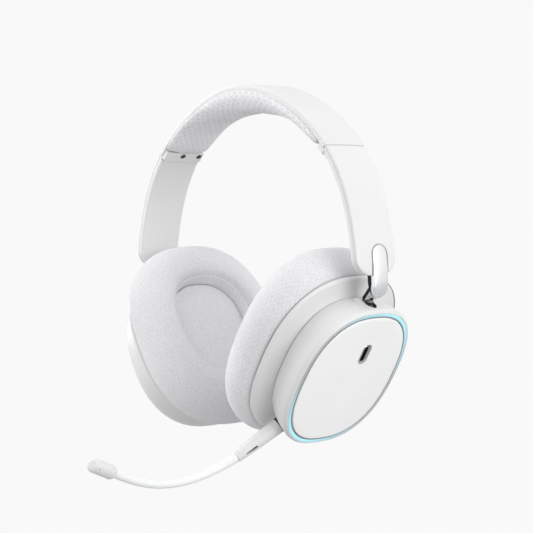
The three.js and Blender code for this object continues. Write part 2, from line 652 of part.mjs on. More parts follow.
function buildMic() {
  const group = new THREE.Group();
  const away = micDir(MIC_ANGLE);
  const on = (d) => micRoot.clone().addScaledVector(away, d).toArray();
  const base = join(rod(on(0.5), on(16), 3.7, 20, 3.3), rod(on(15.9), on(MIC_BASE_LENGTH - 0.3), 3.3, 20, 2.8));
  const socketBore = rod(on(-12), on(3.5), 2.05, 16);
  group.add(piece("mic_base", cut(base, socketBore), white));
  group.add(piece("mic_plug", join(rod(on(-10), on(3.2), 1.75, 16), rod(on(-12), on(-10), 1.0, 16, 1.7)), bright));
  group.add(piece("mic_socket", cut(rod(on(-11), on(-0.4), 3.5, 18), socketBore), black));

  const line = neckLine();
  const per = (line.length - 1) / NECK_SEGMENTS;
  for (let i = 0; i < NECK_SEGMENTS; i++) {
    const stretch = line.slice(i * per, (i + 1) * per + 1);
    group.add(piece(`mic_neck_${i + 1}`, neckTube(stretch, NECK_R), black));
  }
  const end = line[line.length - 1];
  const dir = micDir(end.angle);
  const at = (d) => end.at.clone().addScaledVector(dir, d).toArray();
  const body = join(rod(at(0.2), at(1.4), 2.4, 18), rod(at(1.2), at(CAPSULE_LENGTH - 2), CAPSULE_R, 20));
  group.add(piece("mic_capsule", body, white));
  group.add(piece("mic_end_cap", rod(at(CAPSULE_LENGTH - 1.7), at(CAPSULE_LENGTH), CAPSULE_R, 20, 2.8), white));
  return group;
}

// ---------- assembly ----------
function placedCup(side) {
  const cup = new THREE.Group();
  cup.add(buildCup(side), buildKnuckle(side));
  if (side === "left") cup.add(buildLeftElectronics(), buildControls(), buildMic());
  else cup.add(piece("battery", box([4.2, 24, 32], [-7.6, 0, 2]), black));
  cup.applyMatrix4(cupMatrix(side));
  const half = new THREE.Group();
  half.add(cup, buildSlider(side));
  return half;
}

const headset = new THREE.Group();
headset.name = "gaming_headset";
const leftSide = placedCup("left");
const rightSide = placedCup("right");
rightSide.scale.set(-1, 1, 1);
headset.add(buildHeadband(), leftSide, rightSide);

export default headset;
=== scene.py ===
"""The looks of a wireless gaming headset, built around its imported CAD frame.

Shapes are worked out in millimetres and placed in metres. Each ear cup is modelled in its own frame:
x points out of the cup, y to the wearer's back and z up the cup, with the origin in the face plate.
"""
import json
import math

import bmesh
import bpy
import numpy as np
from mathutils import Matrix, Vector


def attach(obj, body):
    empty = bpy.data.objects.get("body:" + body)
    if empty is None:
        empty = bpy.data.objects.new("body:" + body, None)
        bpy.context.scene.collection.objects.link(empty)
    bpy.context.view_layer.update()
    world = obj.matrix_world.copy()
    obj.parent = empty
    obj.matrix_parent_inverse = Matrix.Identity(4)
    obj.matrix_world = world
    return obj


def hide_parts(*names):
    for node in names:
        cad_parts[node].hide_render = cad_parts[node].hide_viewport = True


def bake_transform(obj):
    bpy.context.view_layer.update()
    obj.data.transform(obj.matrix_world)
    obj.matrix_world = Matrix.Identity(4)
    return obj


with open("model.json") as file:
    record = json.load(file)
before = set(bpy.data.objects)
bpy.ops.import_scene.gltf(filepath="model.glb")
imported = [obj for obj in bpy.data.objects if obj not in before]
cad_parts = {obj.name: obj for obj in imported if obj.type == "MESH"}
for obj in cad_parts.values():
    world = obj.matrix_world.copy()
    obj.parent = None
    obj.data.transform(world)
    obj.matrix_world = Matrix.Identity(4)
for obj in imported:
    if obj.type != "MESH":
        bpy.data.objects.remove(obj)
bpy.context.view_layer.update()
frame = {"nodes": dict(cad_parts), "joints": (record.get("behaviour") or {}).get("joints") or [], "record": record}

record = frame["record"]
joints = {j["name"]: j for j in frame["joints"]}
body_of = {node: body for body, nodes in record["behaviour"]["bodies"].items() for node in nodes}
slot_of = {part["node"]: part["material_slot"] for part in record["subparts"]}
MM = 0.001

# ---------- sizes that the looks add to the frame, in millimetres ----------
BAND_CENTRE_Z = -63.4
CROWN_HALF = 11.9
ARM_HALF = 11.5
CROWN_THICK = 1.8
SKIRT_DEPTH = 3.0
ARM_THICK = 4.8
SEAM_ANGLE = 57.0
PAD_END_ANGLE = 53.0
ARM_CORNER = 8.6
OVAL_EXPONENT = 2.46
BODY_HALF = np.array([32.4, 38.8])
CUSHION_HALF = np.array([39.0, 50.1])
CUSHION_SHIFT = np.array([-1.2, -0.8])
NECK_R = 1.95
OVAL_STEPS = 128


# ---------- places read from the frame ----------
def node_points(*names):
    """The vertices of CAD nodes at rest, in millimetres."""
    clouds = [np.array([v.co for v in frame["nodes"][n].data.vertices]) for n in names]
    return np.concatenate(clouds) / MM


def mount_of(name):
    """The record's mount with a name."""
    return next(m for m in record["mounts"] if m["name"] == name)


def cup_matrix(side):
    """From the cup's own millimetres to metres in the row frame. The right cup's is mirrored."""
    mount = mount_of(side + "_face_plate")
    out = Vector(mount["axis"]).normalized()
    up = Vector(joints[side + "_cup_swivel"]["axis"]).normalized()
    if up.z < 0:
        up = -up
    front = out.cross(up) if side == "left" else up.cross(out)
    origin = Vector(mount["pos_m"]) + up * (4 * MM)
    turn = Matrix((out, -front, up)).transposed().to_4x4()
    return Matrix.Translation(origin) @ turn @ Matrix.Scale(MM, 4)


CUP = {side: cup_matrix(side) for side in ("left", "right")}
TO_METRES = Matrix.Scale(MM, 4)
MIRROR = Matrix.Scale(-1, 4, (1, 0, 0))


def in_cup(side, point):
    """A point of the row frame, in metres, in the cup's own millimetres."""
    return np.array(CUP[side].inverted() @ Vector(point))


# ---------- pieces ----------
def add_object(name, data):
    """An object for a mesh, a light or a camera, linked into the scene."""
    obj = bpy.data.objects.new(name, data)
    bpy.context.scene.collection.objects.link(obj)
    return obj


def make_piece(name, mesh, matrix, material, node, slot=None):
    """A mesh in millimetres becomes a piece that rides on its node's body.

    It stands for the node, unless it names a material slot of its own: then it only goes with the node."""
    mesh.transform(matrix)
    if matrix.determinant() < 0:
        mesh.flip_normals()
    obj = add_object(name, mesh)
    mesh.materials.clear()
    mesh.materials.append(material)
    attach(obj, body_of[node])
    if slot is None:
        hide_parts(node)
    return obj


def detail(node, mesh, matrix, material):
    """The finer piece that stands for one CAD node."""
    make_piece(node + "_detail", mesh, matrix, material, node)


# ---------- meshes ----------
def unit(vector):
    """A vector's direction, with a length of one."""
    vector = np.asarray(vector, float)
    return vector / np.linalg.norm(vector)


def unit_rows(rows):
    """The directions of an array's rows."""
    return rows / np.linalg.norm(rows, axis=1)[:, None]


def full_turn(steps):
    """Even angles round a circle."""
    return np.linspace(0, 2 * math.pi, steps, endpoint=False)


def circle(a, b, sides):
    """Points round the circle that two vectors span."""
    turn = full_turn(sides)
    return np.outer(np.cos(turn), a) + np.outer(np.sin(turn), b)


def set_values(mesh, name, values):
    """A number for each vertex, which the material reads by its name."""
    mesh.attributes.new(name, "FLOAT", "POINT").data.foreach_set("value", values)


def smooth_mesh(mesh, angle=32.0):
    """Smooth shading with sharp edges where faces meet at more than an angle."""
    bm = bmesh.new()
    bm.from_mesh(mesh)
    bmesh.ops.recalc_face_normals(bm, faces=bm.faces)
    for face in bm.faces:
        face.smooth = True
    for edge in bm.edges:
        if len(edge.link_faces) == 2:
            edge.smooth = edge.calc_face_angle(0) < math.radians(angle)
    bm.to_mesh(mesh)
    bm.free()
    return mesh


def grid_faces(count, size, joined, wrap):
    """The four-sided faces between rings of points, numbered ring by ring."""
    faces = []
    for i in range(count if joined else count - 1):
        here, there = i * size, ((i + 1) % count) * size
        for j in range(size if wrap else size - 1):
            k = (j + 1) % size
            faces.append((here + j, here + k, there + k, there + j))
    return faces


def grid_mesh(name, rings, joined=False, uv=None, wrap=True):
    """A mesh through rings of equal length, capped at both ends or joined end to start.

    uv is a pair of lists, one value for each ring and one for each point, both with one more to close."""
    rings = np.asarray(rings, float)
    count, size = rings.shape[:2]
    faces = grid_faces(count, size, joined, wrap)
    if not joined and wrap:
        faces.append(tuple(range(size))[::-1])
        faces.append(tuple(range((count - 1) * size, count * size)))
    mesh = bpy.data.meshes.new(name)
    mesh.from_pydata(rings.reshape(-1, 3).tolist(), [], faces)
    if uv is not None:
        along, around = uv
        layer = mesh.uv_layers.new(name="cloth")
        values = np.zeros((len(mesh.loops), 2))
        at = 0
        for i in range(count if joined else count - 1):
            for j in range(size if wrap else size - 1):
                values[at:at + 4] = [(along[i], around[j]), (along[i], around[j + 1]),
                                     (along[i + 1], around[j + 1]), (along[i + 1], around[j])]
                at += 4
        layer.data.foreach_set("uv", values.ravel())
    return smooth_mesh(mesh)


def rounded(corners, steps=5):
    """A closed outline from corners given as (a, b, radius), each turned into a fillet."""
    points = np.array([c[:2] for c in corners], float)
    outline = []
    for i, (a, b, radius) in enumerate(corners):
        here = points[i]
        before = points[i - 1] - here
        after = points[(i + 1) % len(points)] - here
        far_a, far_b = np.linalg.norm(before), np.linalg.norm(after)
        start = here + before / far_a * min(radius, far_a * 0.49)
        end = here + after / far_b * min(radius, far_b * 0.49)
        for t in np.linspace(0, 1, steps):
            outline.append((1 - t) ** 2 * start + 2 * t * (1 - t) * here + t * t * end)
    return np.array(outline)


def catmull_rom(points, factor, closed):
    """Rows added between the rows of an array, on smooth curves through them."""
    n = len(points)
    rows = []
    for i in range(n if closed else n - 1):
        near = [(i + k) % n if closed else min(max(i + k, 0), n - 1) for k in (-1, 0, 1, 2)]
        p0, p1, p2, p3 = points[near]
        for step in range(factor):
            t = step / factor
            rows.append(0.5 * (2 * p1 + (p2 - p0) * t + (2 * p0 - 5 * p1 + 4 * p2 - p3) * t * t
                               + (3 * p1 - p0 - 3 * p2 + p3) * t ** 3))
    if not closed:
        rows.append(points[-1])
    return np.array(rows)


def rounded_box(low, high, corner, steps=6):
    """A rectangle between two of its corners, with all four rounded."""
    (a0, b0), (a1, b1) = low, high
    return rounded([(a0, b0, corner), (a1, b0, corner), (a1, b1, corner), (a0, b1, corner)], steps)


def spline(points, count, closed=False):
    """A smooth curve through points, evenly sampled by its length."""
    points = np.asarray(points, float)
    fine = catmull_rom(points, 24, closed)
    if closed:
        fine = np.append(fine, points[:1], axis=0)
    length = np.concatenate([[0], np.cumsum(np.linalg.norm(np.diff(fine, axis=0), axis=1))])
    goal = np.linspace(0, length[-1], count, endpoint=not closed)
    return np.stack([np.interp(goal, length, fine[:, k]) for k in range(fine.shape[1])], axis=1)


def add_bevel(obj, width):
    """Softened edges, with a width in millimetres."""
    bevel = obj.modifiers.new("edges", "BEVEL")
    bevel.width = width * MM
    bevel.segments = 2
    bevel.limit_method = "ANGLE"
    bevel.angle_limit = math.radians(38)
    bevel.use_clamp_overlap = True
    bevel.harden_normals = True


def apply_modifiers(obj):
    """The object's mesh with its modifiers in it."""
    graph = bpy.context.evaluated_depsgraph_get()
    mesh = bpy.data.meshes.new_from_object(obj.evaluated_get(graph))
    obj.modifiers.clear()
    obj.data = mesh
    return obj


def combine(mesh, others, name, operation):
    """A mesh with others cut out of it or joined to it, all in the same millimetres."""
    base = add_object(name, mesh)
    tools = [add_object(name + "_tool", other) for other in others]
    for tool in tools:
        step = base.modifiers.new("step", "BOOLEAN")
        step.operation = operation
        step.solver = "EXACT"
        step.object = tool
    apply_modifiers(base)
    result = base.data
    for obj in [base, *tools]:
        bpy.data.objects.remove(obj)
    return smooth_mesh(result)


def carve(mesh, cutters, name):
    """A mesh with cutters taken out of it."""
    return combine(mesh, cutters, name, "DIFFERENCE")


def join_meshes(first, second, name):
    """One solid out of two that overlap."""
    return combine(first, [second], name, "UNION")


def box_mesh(size, centre):
    """A box round its centre."""
    x, y, z = np.array(size) / 2
    outline = [(-x, -y), (x, -y), (x, y), (-x, y)]
    return grid_mesh("box", [[np.add(centre, (a, b, level)) for a, b in outline] for level in (-z, z)])


def turned_mesh(start, direction, profile, sides=40):
    """A round piece: profile gives (distance along the direction, radius)."""
    d = unit(direction)
    side = unit(np.cross(d, [1, 0, 0] if abs(d[0]) < 0.9 else [0, 1, 0]))
    ring = circle(side, np.cross(d, side), sides)
    return grid_mesh("turned", [np.asarray(start) + d * s + ring * r for s, r in profile])


def refined(node, material, bevel):
    """A finer copy of a small CAD node: its edges are rounded and its round faces shaded smooth."""
    bm = bmesh.new()
    bm.from_mesh(frame["nodes"][node].data)
    bmesh.ops.remove_doubles(bm, verts=bm.verts, dist=2e-6)
    bmesh.ops.dissolve_limit(bm, angle_limit=math.radians(1.0), verts=bm.verts, edges=bm.edges)
    sharp = [e for e in bm.edges if len(e.link_faces) == 2 and e.calc_face_angle(0) > math.radians(38)]
    bmesh.ops.bevel(bm, geom=sharp, offset=bevel * MM, segments=2, affect="EDGES",
                    profile=0.5, clamp_overlap=True)
    bmesh.ops.triangulate(bm, faces=[f for f in bm.faces if len(f.verts) > 4])
    mesh = bpy.data.meshes.new(node)
    bm.to_mesh(mesh)
    bm.free()
    detail(node, smooth_mesh(mesh), Matrix.Identity(4), material)


# ---------- materials ----------
class Tree:
    """A node tree, with short calls to add and join nodes."""

    def __init__(self, owner):
        owner.use_nodes = True
        self.tree = owner.node_tree

    def clear(self):
        self.tree.nodes.clear()

    def add(self, kind, **settings):
        node = self.tree.nodes.new("ShaderNode" + kind)
        for key, value in settings.items():
            if hasattr(node, key):
                setattr(node, key, value)
            else:
                node.inputs[key.replace("_", " ")].default_value = value
        return node

    def join(self, source, target):
        self.tree.links.new(source, target)

    def ramp(self, source, stops):
        ramp = self.add("ValToRGB")
        elements = ramp.color_ramp.elements
        for element, (place, value) in zip(elements, stops):
            element.position = place
            element.color = value
        for place, value in stops[2:]:
            elements.new(place).color = value
        self.join(source, ramp.inputs["Fac"])
        return ramp.outputs["Color"]

    def by_camera_ray(self, lit, seen, output):
        """One shader lights the object, and the other is what the camera sees behind it."""
        mix = self.add("MixShader")
        self.join(self.add("LightPath").outputs["Is Camera Ray"], mix.inputs["Fac"])
        self.join(lit.outputs[0], mix.inputs[1])
        self.join(seen.outputs[0], mix.inputs[2])
        self.join(mix.outputs["Shader"], self.add(output).inputs["Surface"])


class Nodes(Tree):
    """A material's nodes, joined to its shader."""

    def __init__(self, name):
        self.material = bpy.data.materials.new(name)
        super().__init__(self.material)
        self.shader = self.tree.nodes["Principled BSDF"]

    def set(self, **values):
        for key, value in values.items():
            self.shader.inputs[key.replace("_", " ")].default_value = value

    def show(self, source, target):
        self.join(source, self.shader.inputs[target])

    def noise(self, scale, detail):
        texture = self.add("TexNoise", Scale=scale, Detail=detail)
        self.join(self.add("TexCoord").outputs["Object"], texture.inputs["Vector"])
        return texture.outputs["Fac"]

    def number(self, name):
        """A number that each vertex carries."""
        return self.add("Attribute", attribute_name=name).outputs["Fac"]

    def multiply(self, first, second, share=1.0):
        mix = self.add("Mix", data_type="RGBA", blend_type="MULTIPLY")
        mix.inputs["Factor"].default_value = share
        self.join(first, mix.inputs["A"])
        self.join(second, mix.inputs["B"])
        return mix.outputs["Result"]

    def bump(self, source, strength, distance, before=None):
        bump = self.add("Bump", Strength=strength, Distance=distance)
        self.join(source, bump.inputs["Height"])
        if before is not None:
            self.join(before, bump.inputs["Normal"])
        return bump.outputs["Normal"]


def grey(value, blue=0.0):
    """A grey, with its blue raised by a share."""
    return (value, value, value * (1 + blue), 1.0)


def darkened(color, share):
    """A colour at a share of its brightness."""
    return tuple(c * share for c in color) + (1.0,)


def moulded_plastic(name, color, roughness, grain=0.05, coat=0.0, metallic=0.0):
    """Moulded plastic: a fine spark-eroded grain, and slow changes of tone and gloss."""
    n = Nodes(name)
    n.set(Specular_IOR_Level=0.5, Coat_Weight=coat, Coat_Roughness=0.2, Metallic=metallic)
    slow = n.noise(28.0, 3.0)
    n.show(n.ramp(slow, [(0.3, darkened(color, 0.965)), (0.7, darkened(color, 1))]), "Base Color")
    n.show(n.ramp(slow, [(0.25, grey(roughness - 0.05)), (0.75, grey(roughness + 0.06))]), "Roughness")
    n.show(n.bump(n.noise(2600.0, 2.0), grain, 0.00006), "Normal")
    return n.material


def metal(name, color, roughness):
    """Bare metal, with small patches of another tone and gloss."""
    n = Nodes(name)
    n.set(Metallic=1.0)
    patches = n.noise(420.0, 3.0)
    n.show(n.ramp(patches, [(0.35, darkened(color, 0.82)), (0.65, darkened(color, 1))]), "Base Color")
    n.show(n.ramp(patches, [(0.3, grey(roughness * 0.8)), (0.7, grey(roughness * 1.25))]), "Roughness")
    return n.material


def knit_fabric(name, top, groove_shade, yarn_scale=1.0):
    """Sports knit: cells from the mesh's own relief, with painted shade darkening their grooves, and yarn that
    runs along the cloth.
    """
    n = Nodes(name)
    n.set(Roughness=0.92, Specular_IOR_Level=0.25, Sheen_Weight=0.35, Sheen_Roughness=0.45)
    # Painted shade: the colour runs from the groove's shade at low relief to the top's colour at high relief.
    cells = n.ramp(n.number("relief"), [(0.0, groove_shade), (0.8, top)])
    patches = n.ramp(n.noise(38.0, 2.0), [(0.3, grey(0.96)), (0.7, grey(1.0))])
    specks = n.ramp(n.noise(1250.0, 2.0), [(0.36, grey(0.90)), (0.6, grey(1.0))])
    waves = n.add("TexWave", wave_type="BANDS", bands_direction="X", Scale=1.15 * yarn_scale, Distortion=1.5,
                  Detail=2.0, Detail_Scale=2.0)
    n.join(n.add("UVMap", uv_map="cloth").outputs["UV"], waves.inputs["Vector"])
    yarn = waves.outputs["Fac"]
    cloth = n.multiply(cells, n.multiply(patches, specks))
    n.show(n.multiply(cloth, n.ramp(yarn, [(0.2, grey(0.86)), (0.7, grey(1.0))]), 0.5), "Base Color")
    fuzz = n.bump(n.noise(1900.0, 3.0), 0.35, 0.00012)
    n.show(n.bump(yarn, 0.5, 0.00015, fuzz), "Normal")
    return n.material


def light_diffuser(name):
    """A light guide: the attribute glow says how brightly each part of the ring is lit."""
    n = Nodes(name)
    n.set(Roughness=0.3, Coat_Weight=0.3)
    glow = n.number("glow")
    n.show(n.ramp(glow, [(0.0, (0.52, 0.53, 0.54, 1)), (0.45, (0.36, 0.58, 0.64, 1))]), "Base Color")
    n.show(n.ramp(glow, [(0.0, grey(0)), (1.0, (0.28, 0.62, 0.70, 1))]), "Emission Color")
    n.set(Emission_Strength=0.62)
    return n.material


WHITE = moulded_plastic("white_plastic", (0.76, 0.762, 0.766), 0.42)
GLOSSY = moulded_plastic("white_plastic_polished", (0.80, 0.802, 0.806), 0.22, 0.015, 0.2)
# Painted light: the face plate's white is a brighter copy of the white plastic, for light the plate doesn't get.
PLATE_LIT_WHITE = moulded_plastic("face_plate_painted_light", (0.965, 0.967, 0.97), 0.36, 0.04)
BLACK = moulded_plastic("black_plastic", (0.018, 0.018, 0.020), 0.5)
SOFT_BLACK = moulded_plastic("wheel_rubber", (0.030, 0.030, 0.032), 0.62, 0.12)
KEY = moulded_plastic("key_plastic", (0.62, 0.625, 0.635), 0.4, 0.04)
# The second grey of each knit is the painted shade in its grooves.
KNIT = knit_fabric("knit_fabric", grey(0.98, 0.02), grey(0.80, 0.03))
EAR_KNIT = knit_fabric("ear_knit_fabric", grey(0.90, 0.022), grey(0.82, 0.035))
LINING = knit_fabric("lining_fabric", grey(0.99, 0.005), grey(0.95, 0.01), 2.0)
GUNMETAL = metal("gunmetal", (0.20, 0.20, 0.21), 0.38)
# Painted shade: the dark ring in the crevice between flange and cushion.
SEAM_SHADE = moulded_plastic("painted_seam_shade", (0.10, 0.10, 0.105), 0.6)
STEEL = metal("blackened_steel", (0.030, 0.030, 0.033), 0.34)
TRIM = moulded_plastic("trim_plastic", (0.26, 0.275, 0.29), 0.4, 0.02)
COVER = moulded_plastic("satin_cover", (0.88, 0.89, 0.905), 0.3, 0.01, 0.0, 0.75)
# Painted shade: a grey for the walls of the arm's slot and the port's bevel, where they lie in shade.
SHADOW_GREY = moulded_plastic("painted_shade_grey", (0.36, 0.365, 0.375), 0.35)
CHROME = metal("satin_metal", (0.62, 0.63, 0.65), 0.24)
LIGHT = light_diffuser("light_diffuser")
SLEEVE = moulded_plastic("neck_sleeve", (0.88, 0.883, 0.888), 0.5, 0.03)
BOARD = moulded_plastic("circuit_board", (0.02, 0.12, 0.06), 0.5)
CELL = moulded_plastic("battery_cell", (0.10, 0.10, 0.12), 0.45)
SCREEN = knit_fabric("screen_fabric", grey(0.97, 0.02), grey(0.90, 0.03), 1.4)


# ---------- headband ----------
def fit_band():
    """The radius of the headband's outer surface, as an even polynomial of the bearing from straight up."""
    cloud = node_points("crown_shell", "left_arm_outer_cover")
    bearing = np.abs(np.arctan2(cloud[:, 0], cloud[:, 2] - BAND_CENTRE_Z))
    radius = np.hypot(cloud[:, 0], cloud[:, 2] - BAND_CENTRE_Z)
    keep = np.full(len(cloud), True)
    for margin in (1.5, 1.0, 0.6, 0.4, 0.25, 0.15, 0.1, 0.1):
        fit = np.polynomial.Polynomial.fit(bearing[keep] ** 2, radius[keep], 5)
        keep = radius > fit(bearing ** 2) - margin
    return fit


BAND = fit_band()
BEARINGS = np.radians(np.linspace(-104, 104, 4161))


def band_points(bearing):
    """Points on the headband's outer surface, in its middle plane."""
    r = BAND(bearing ** 2)
    return np.stack([r * np.sin(bearing), np.zeros_like(r), BAND_CENTRE_Z + r * np.cos(bearing)], axis=-1)


BAND_LINE = band_points(BEARINGS)
BAND_LENGTH = np.concatenate([[0], np.cumsum(np.linalg.norm(np.diff(BAND_LINE, axis=0), axis=1))])
BAND_LENGTH -= np.interp(0, BEARINGS, BAND_LENGTH)


def length_at(degrees):
    """The length along the headband, from its top, at a bearing."""
    return float(np.interp(math.radians(degrees), BEARINGS, BAND_LENGTH))


def onto_band(points):
    """Points given as (length along the band, y, depth under its outer surface) in the row frame."""
    points = np.asarray(points, float)
    bearing = np.interp(points[:, 0], BAND_LENGTH, BEARINGS)
    base = band_points(bearing)
    along = unit_rows(band_points(bearing + 1e-4) - band_points(bearing - 1e-4))
    inward = np.stack([along[:, 2], np.zeros(len(along)), -along[:, 0]], axis=1)
    placed = base + inward * points[:, 2:3]
    placed[:, 1] = points[:, 1]
    return placed


def inset_outline(outline, inset):
    """A counter-clockwise outline moved inwards."""
    forward = unit_rows(np.roll(outline, -1, axis=0) - outline)
    normal = np.stack([-forward[:, 1], forward[:, 0]], axis=1)
    before = np.roll(normal, 1, axis=0)
    share = 1 + np.sum(normal * before, axis=1)
    return outline + inset * (normal + before) / share[:, None]


def bent_plate(name, outline, layers, dome=0.0, step=1.6):
    """A plate bent round the headband. The outline holds (length, y); layers hold (depth, inset)."""
    outline = np.asarray(outline, float)
    bm = bmesh.new()
    rings = [[bm.verts.new((s, y, depth)) for s, y in inset_outline(outline, inset)]
             for depth, inset in layers]
    for ring, following in zip(rings, rings[1:]):
        for i in range(len(ring)):
            j = (i + 1) % len(ring)
            bm.faces.new((ring[i], ring[j], following[j], following[i]))
    bm.faces.new(rings[0])
    bm.faces.new(rings[-1][::-1])
    (low, front), (high, rear) = outline.min(axis=0), outline.max(axis=0)
    cuts = [((s, 0, 0), (1, 0, 0)) for s in np.arange(low + step, high - 0.1, step)]
    cuts += [((0, y, 0), (0, 1, 0)) for y in np.arange(front + 2.5, rear - 0.1, 2.5)]
    for place, direction in cuts:
        geometry = bm.verts[:] + bm.edges[:] + bm.faces[:]
        bmesh.ops.bisect_plane(bm, geom=geometry, plane_co=place, plane_no=direction, dist=1e-4)
    bmesh.ops.triangulate(bm, faces=[f for f in bm.faces if len(f.verts) > 4])
    middle, half = (front + rear) / 2, (rear - front) / 2
    flat = np.array([v.co for v in bm.verts])
    deepest = max(depth for depth, _ in layers)
    share = 1 - flat[:, 2] / deepest
    flat[:, 2] += dome * share * (np.abs(flat[:, 1] - middle) / half) ** 2.4
    for vert, co in zip(bm.verts, onto_band(flat)):
        vert.co = co
    mesh = bpy.data.meshes.new(name)
    bm.to_mesh(mesh)
    bm.free()
    return smooth_mesh(mesh)


def rounded_layers(top, bottom, edge, under=0.4):
    """Depths and insets of a plate whose outer edge is a fillet of one size and inner edge one of another."""
    quarter = np.radians(np.linspace(0, 90, 6))
    outer = [(top + edge * (1 - math.sin(a)), edge * (1 - math.cos(a))) for a in quarter]
    inner = [(bottom - under * (1 - math.sin(a)), under * (1 - math.cos(a))) for a in quarter]
    return inner[::-1] + outer


def rectangle(a0, a1, half, corner):
    """A strip's outline, flat: from one length to another, and half its width to each side."""
    return rounded_box((a0, -half), (a1, half), corner)


# ---------- slider ----------
SLIDE_DOWN = np.array(joints["left_slider_extend"]["axis"], float)
SLIDE_DOWN *= -np.sign(SLIDE_DOWN[2])
SLIDE_OUT = np.array([-SLIDE_DOWN[2], 0, SLIDE_DOWN[0]])
STRIP_CLOUD = node_points("left_slider_strip")
STRIP_TOP = STRIP_CLOUD[STRIP_CLOUD[:, 2] > STRIP_CLOUD[:, 2].max() - 0.4].mean(axis=0)
SLIDER_Y = float(STRIP_TOP[1])
COVER_TOP_Z = float(node_points("left_slider_cover")[:, 2].max())
SLOT_HALF = 4.6
COVER_HALF = 4.2
COVER_TOP = 0.8
COVER_LENGTH = 23.2
COVER_BOW = 0.8
BEND_Z = -83.8
FOOT_TOP = 5.7
# The centre of the slot's round top, which stands a little above the slider's cover.
SLOT_Z = COVER_TOP_Z - COVER_TOP + 0.4 - SLOT_HALF


def on_strip(z, out=0.0, y=0.0):
    """A point of the strip's middle plane at a height, moved outwards and to the rear."""
    place = STRIP_TOP + SLIDE_DOWN * (z - STRIP_TOP[2]) / SLIDE_DOWN[2] + SLIDE_OUT * out
    return place + np.array([0, y, 0])


def slide_box(z0, z1, out_a, out_b, half):
    """A box along the strip, between two heights and between two distances from its middle plane."""
    corners = [(out_a, -half), (out_a, half), (out_b, half), (out_b, -half)]
    return grid_mesh("slide_box", [[on_strip(z, out, y) for out, y in corners] for z in (z0, z1)])


def round_slot(radius, steps):
    """The round top of the slot, flat, from its front edge over to its rear edge."""
    lower = BEARINGS > 1
    centre = np.interp(-SLOT_Z, -BAND_LINE[lower, 2], BAND_LENGTH[lower])
    return [(centre - radius * math.sin(a), SLIDER_Y - radius * math.cos(a))
            for a in np.radians(np.linspace(0, 180, steps))]


def arm_outline(start, slotted):
    """The arm's outline, flat: round corners at its lower end, with the slot for the slider's cover."""
    end = length_at(99.5)
    half, corner = ARM_HALF, ARM_CORNER
    arc = np.radians(np.linspace(0, 90, 13))
    front_corner = [(end - corner + corner * math.sin(a), -half + corner - corner * math.cos(a)) for a in arc]
    rear_corner = [(s, -y) for s, y in front_corner[::-1]]
    if not slotted:
        return np.array([(start, -half), *front_corner, *rear_corner, (start, half)])
    mouth = SLIDER_Y + SLOT_HALF
    rear_corner = [(s, y) for s, y in rear_corner if y > mouth]
    lift = mouth - (half - corner)
    mouth_end = end - corner + math.sqrt(corner ** 2 - lift ** 2)
    return np.array([(start, -half), *front_corner, (end, SLIDER_Y - SLOT_HALF), *round_slot(SLOT_HALF, 25),
                     (mouth_end, mouth), *rear_corner, (start, half)])


def slot_outline():
    """The thin grey edge of painted shade inside the slot, flat: an arch round the slider's cover."""
    foot = length_at(98.0)
    rows = []
    for radius, order in ((SLOT_HALF - 0.02, 1), (SLOT_HALF - 0.3, -1)):
        rows += [(foot, SLIDER_Y - radius), *round_slot(radius, 33), (foot, SLIDER_Y + radius)][::order]
    return np.array(rows[::-1])


def mirrored(side):
    """From millimetres on the left to metres on either side."""
    return TO_METRES if side == "left" else MIRROR @ TO_METRES


def build_headband():
    """The crown's shell with the cushion's channel under it, and both arms."""
    seam = length_at(SEAM_ANGLE)
    shell = bent_plate("crown_shell_detail", rectangle(-seam, seam, CROWN_HALF, 0.5),
                       rounded_layers(0, SKIRT_DEPTH, 0.85, 0.3), dome=0.35)
    channel = bent_plate("channel", rectangle(-seam - 2, seam + 2, CROWN_HALF - 1.2, 0.2),
                         [(SKIRT_DEPTH + 2, 0), (CROWN_THICK, 0)])
    shell = carve(shell, [channel], "crown_shell")
    detail("crown_shell", shell, TO_METRES, WHITE)
    for side in ("left", "right"):
        build_arm(side)
        build_clamp(side)


def build_arm(side):
    """The arm's two covers, hollow along the slider's strip, and the outer one's slot with its grey edge of
    painted shade.
    """
    start = length_at(SEAM_ANGLE + 0.3)
    top, foot = STRIP_TOP[2] + 1, -100
    name = side + "_arm_outer_cover"
    outer = bent_plate(name, arm_outline(start, True), rounded_layers(0, CROWN_THICK, 0.85), dome=0.35)
    outer = carve(outer, [slide_box(top, foot, -0.8, 0.8, 5.4)], name)
    detail(name, outer, mirrored(side), WHITE)
    # Painted shade: a grey strip along the slot's wall.
    shade_piece = bent_plate("slot_shade_piece", slot_outline(), [(1.6, 0), (0.3, 0)], step=1.0)
    make_piece(side + "_slot_shade_piece", shade_piece, mirrored(side), SHADOW_GREY, name, "bright_metal")
    name = side + "_arm_inner_cover"
    layers = rounded_layers(CROWN_THICK + 0.08, ARM_THICK, 0.15, 0.9)
    inner = bent_plate(name, arm_outline(start, False), layers)
    pocket = rectangle(length_at(56), length_at(58.5), 13, 0.2)
    cutters = [
        slide_box(top, foot, -0.81, 0.79, 5.4),
        bent_plate("pocket", pocket, [(9, 0), (SKIRT_DEPTH, 0)]),
        slide_box(SLOT_Z, foot, 0.01, 8.2, SLOT_HALF),
        turned_mesh(on_strip(SLOT_Z), SLIDE_OUT, [(0, SLOT_HALF), (8, SLOT_HALF)]),
    ]
    detail(name, carve(inner, cutters, name), mirrored(side), WHITE)


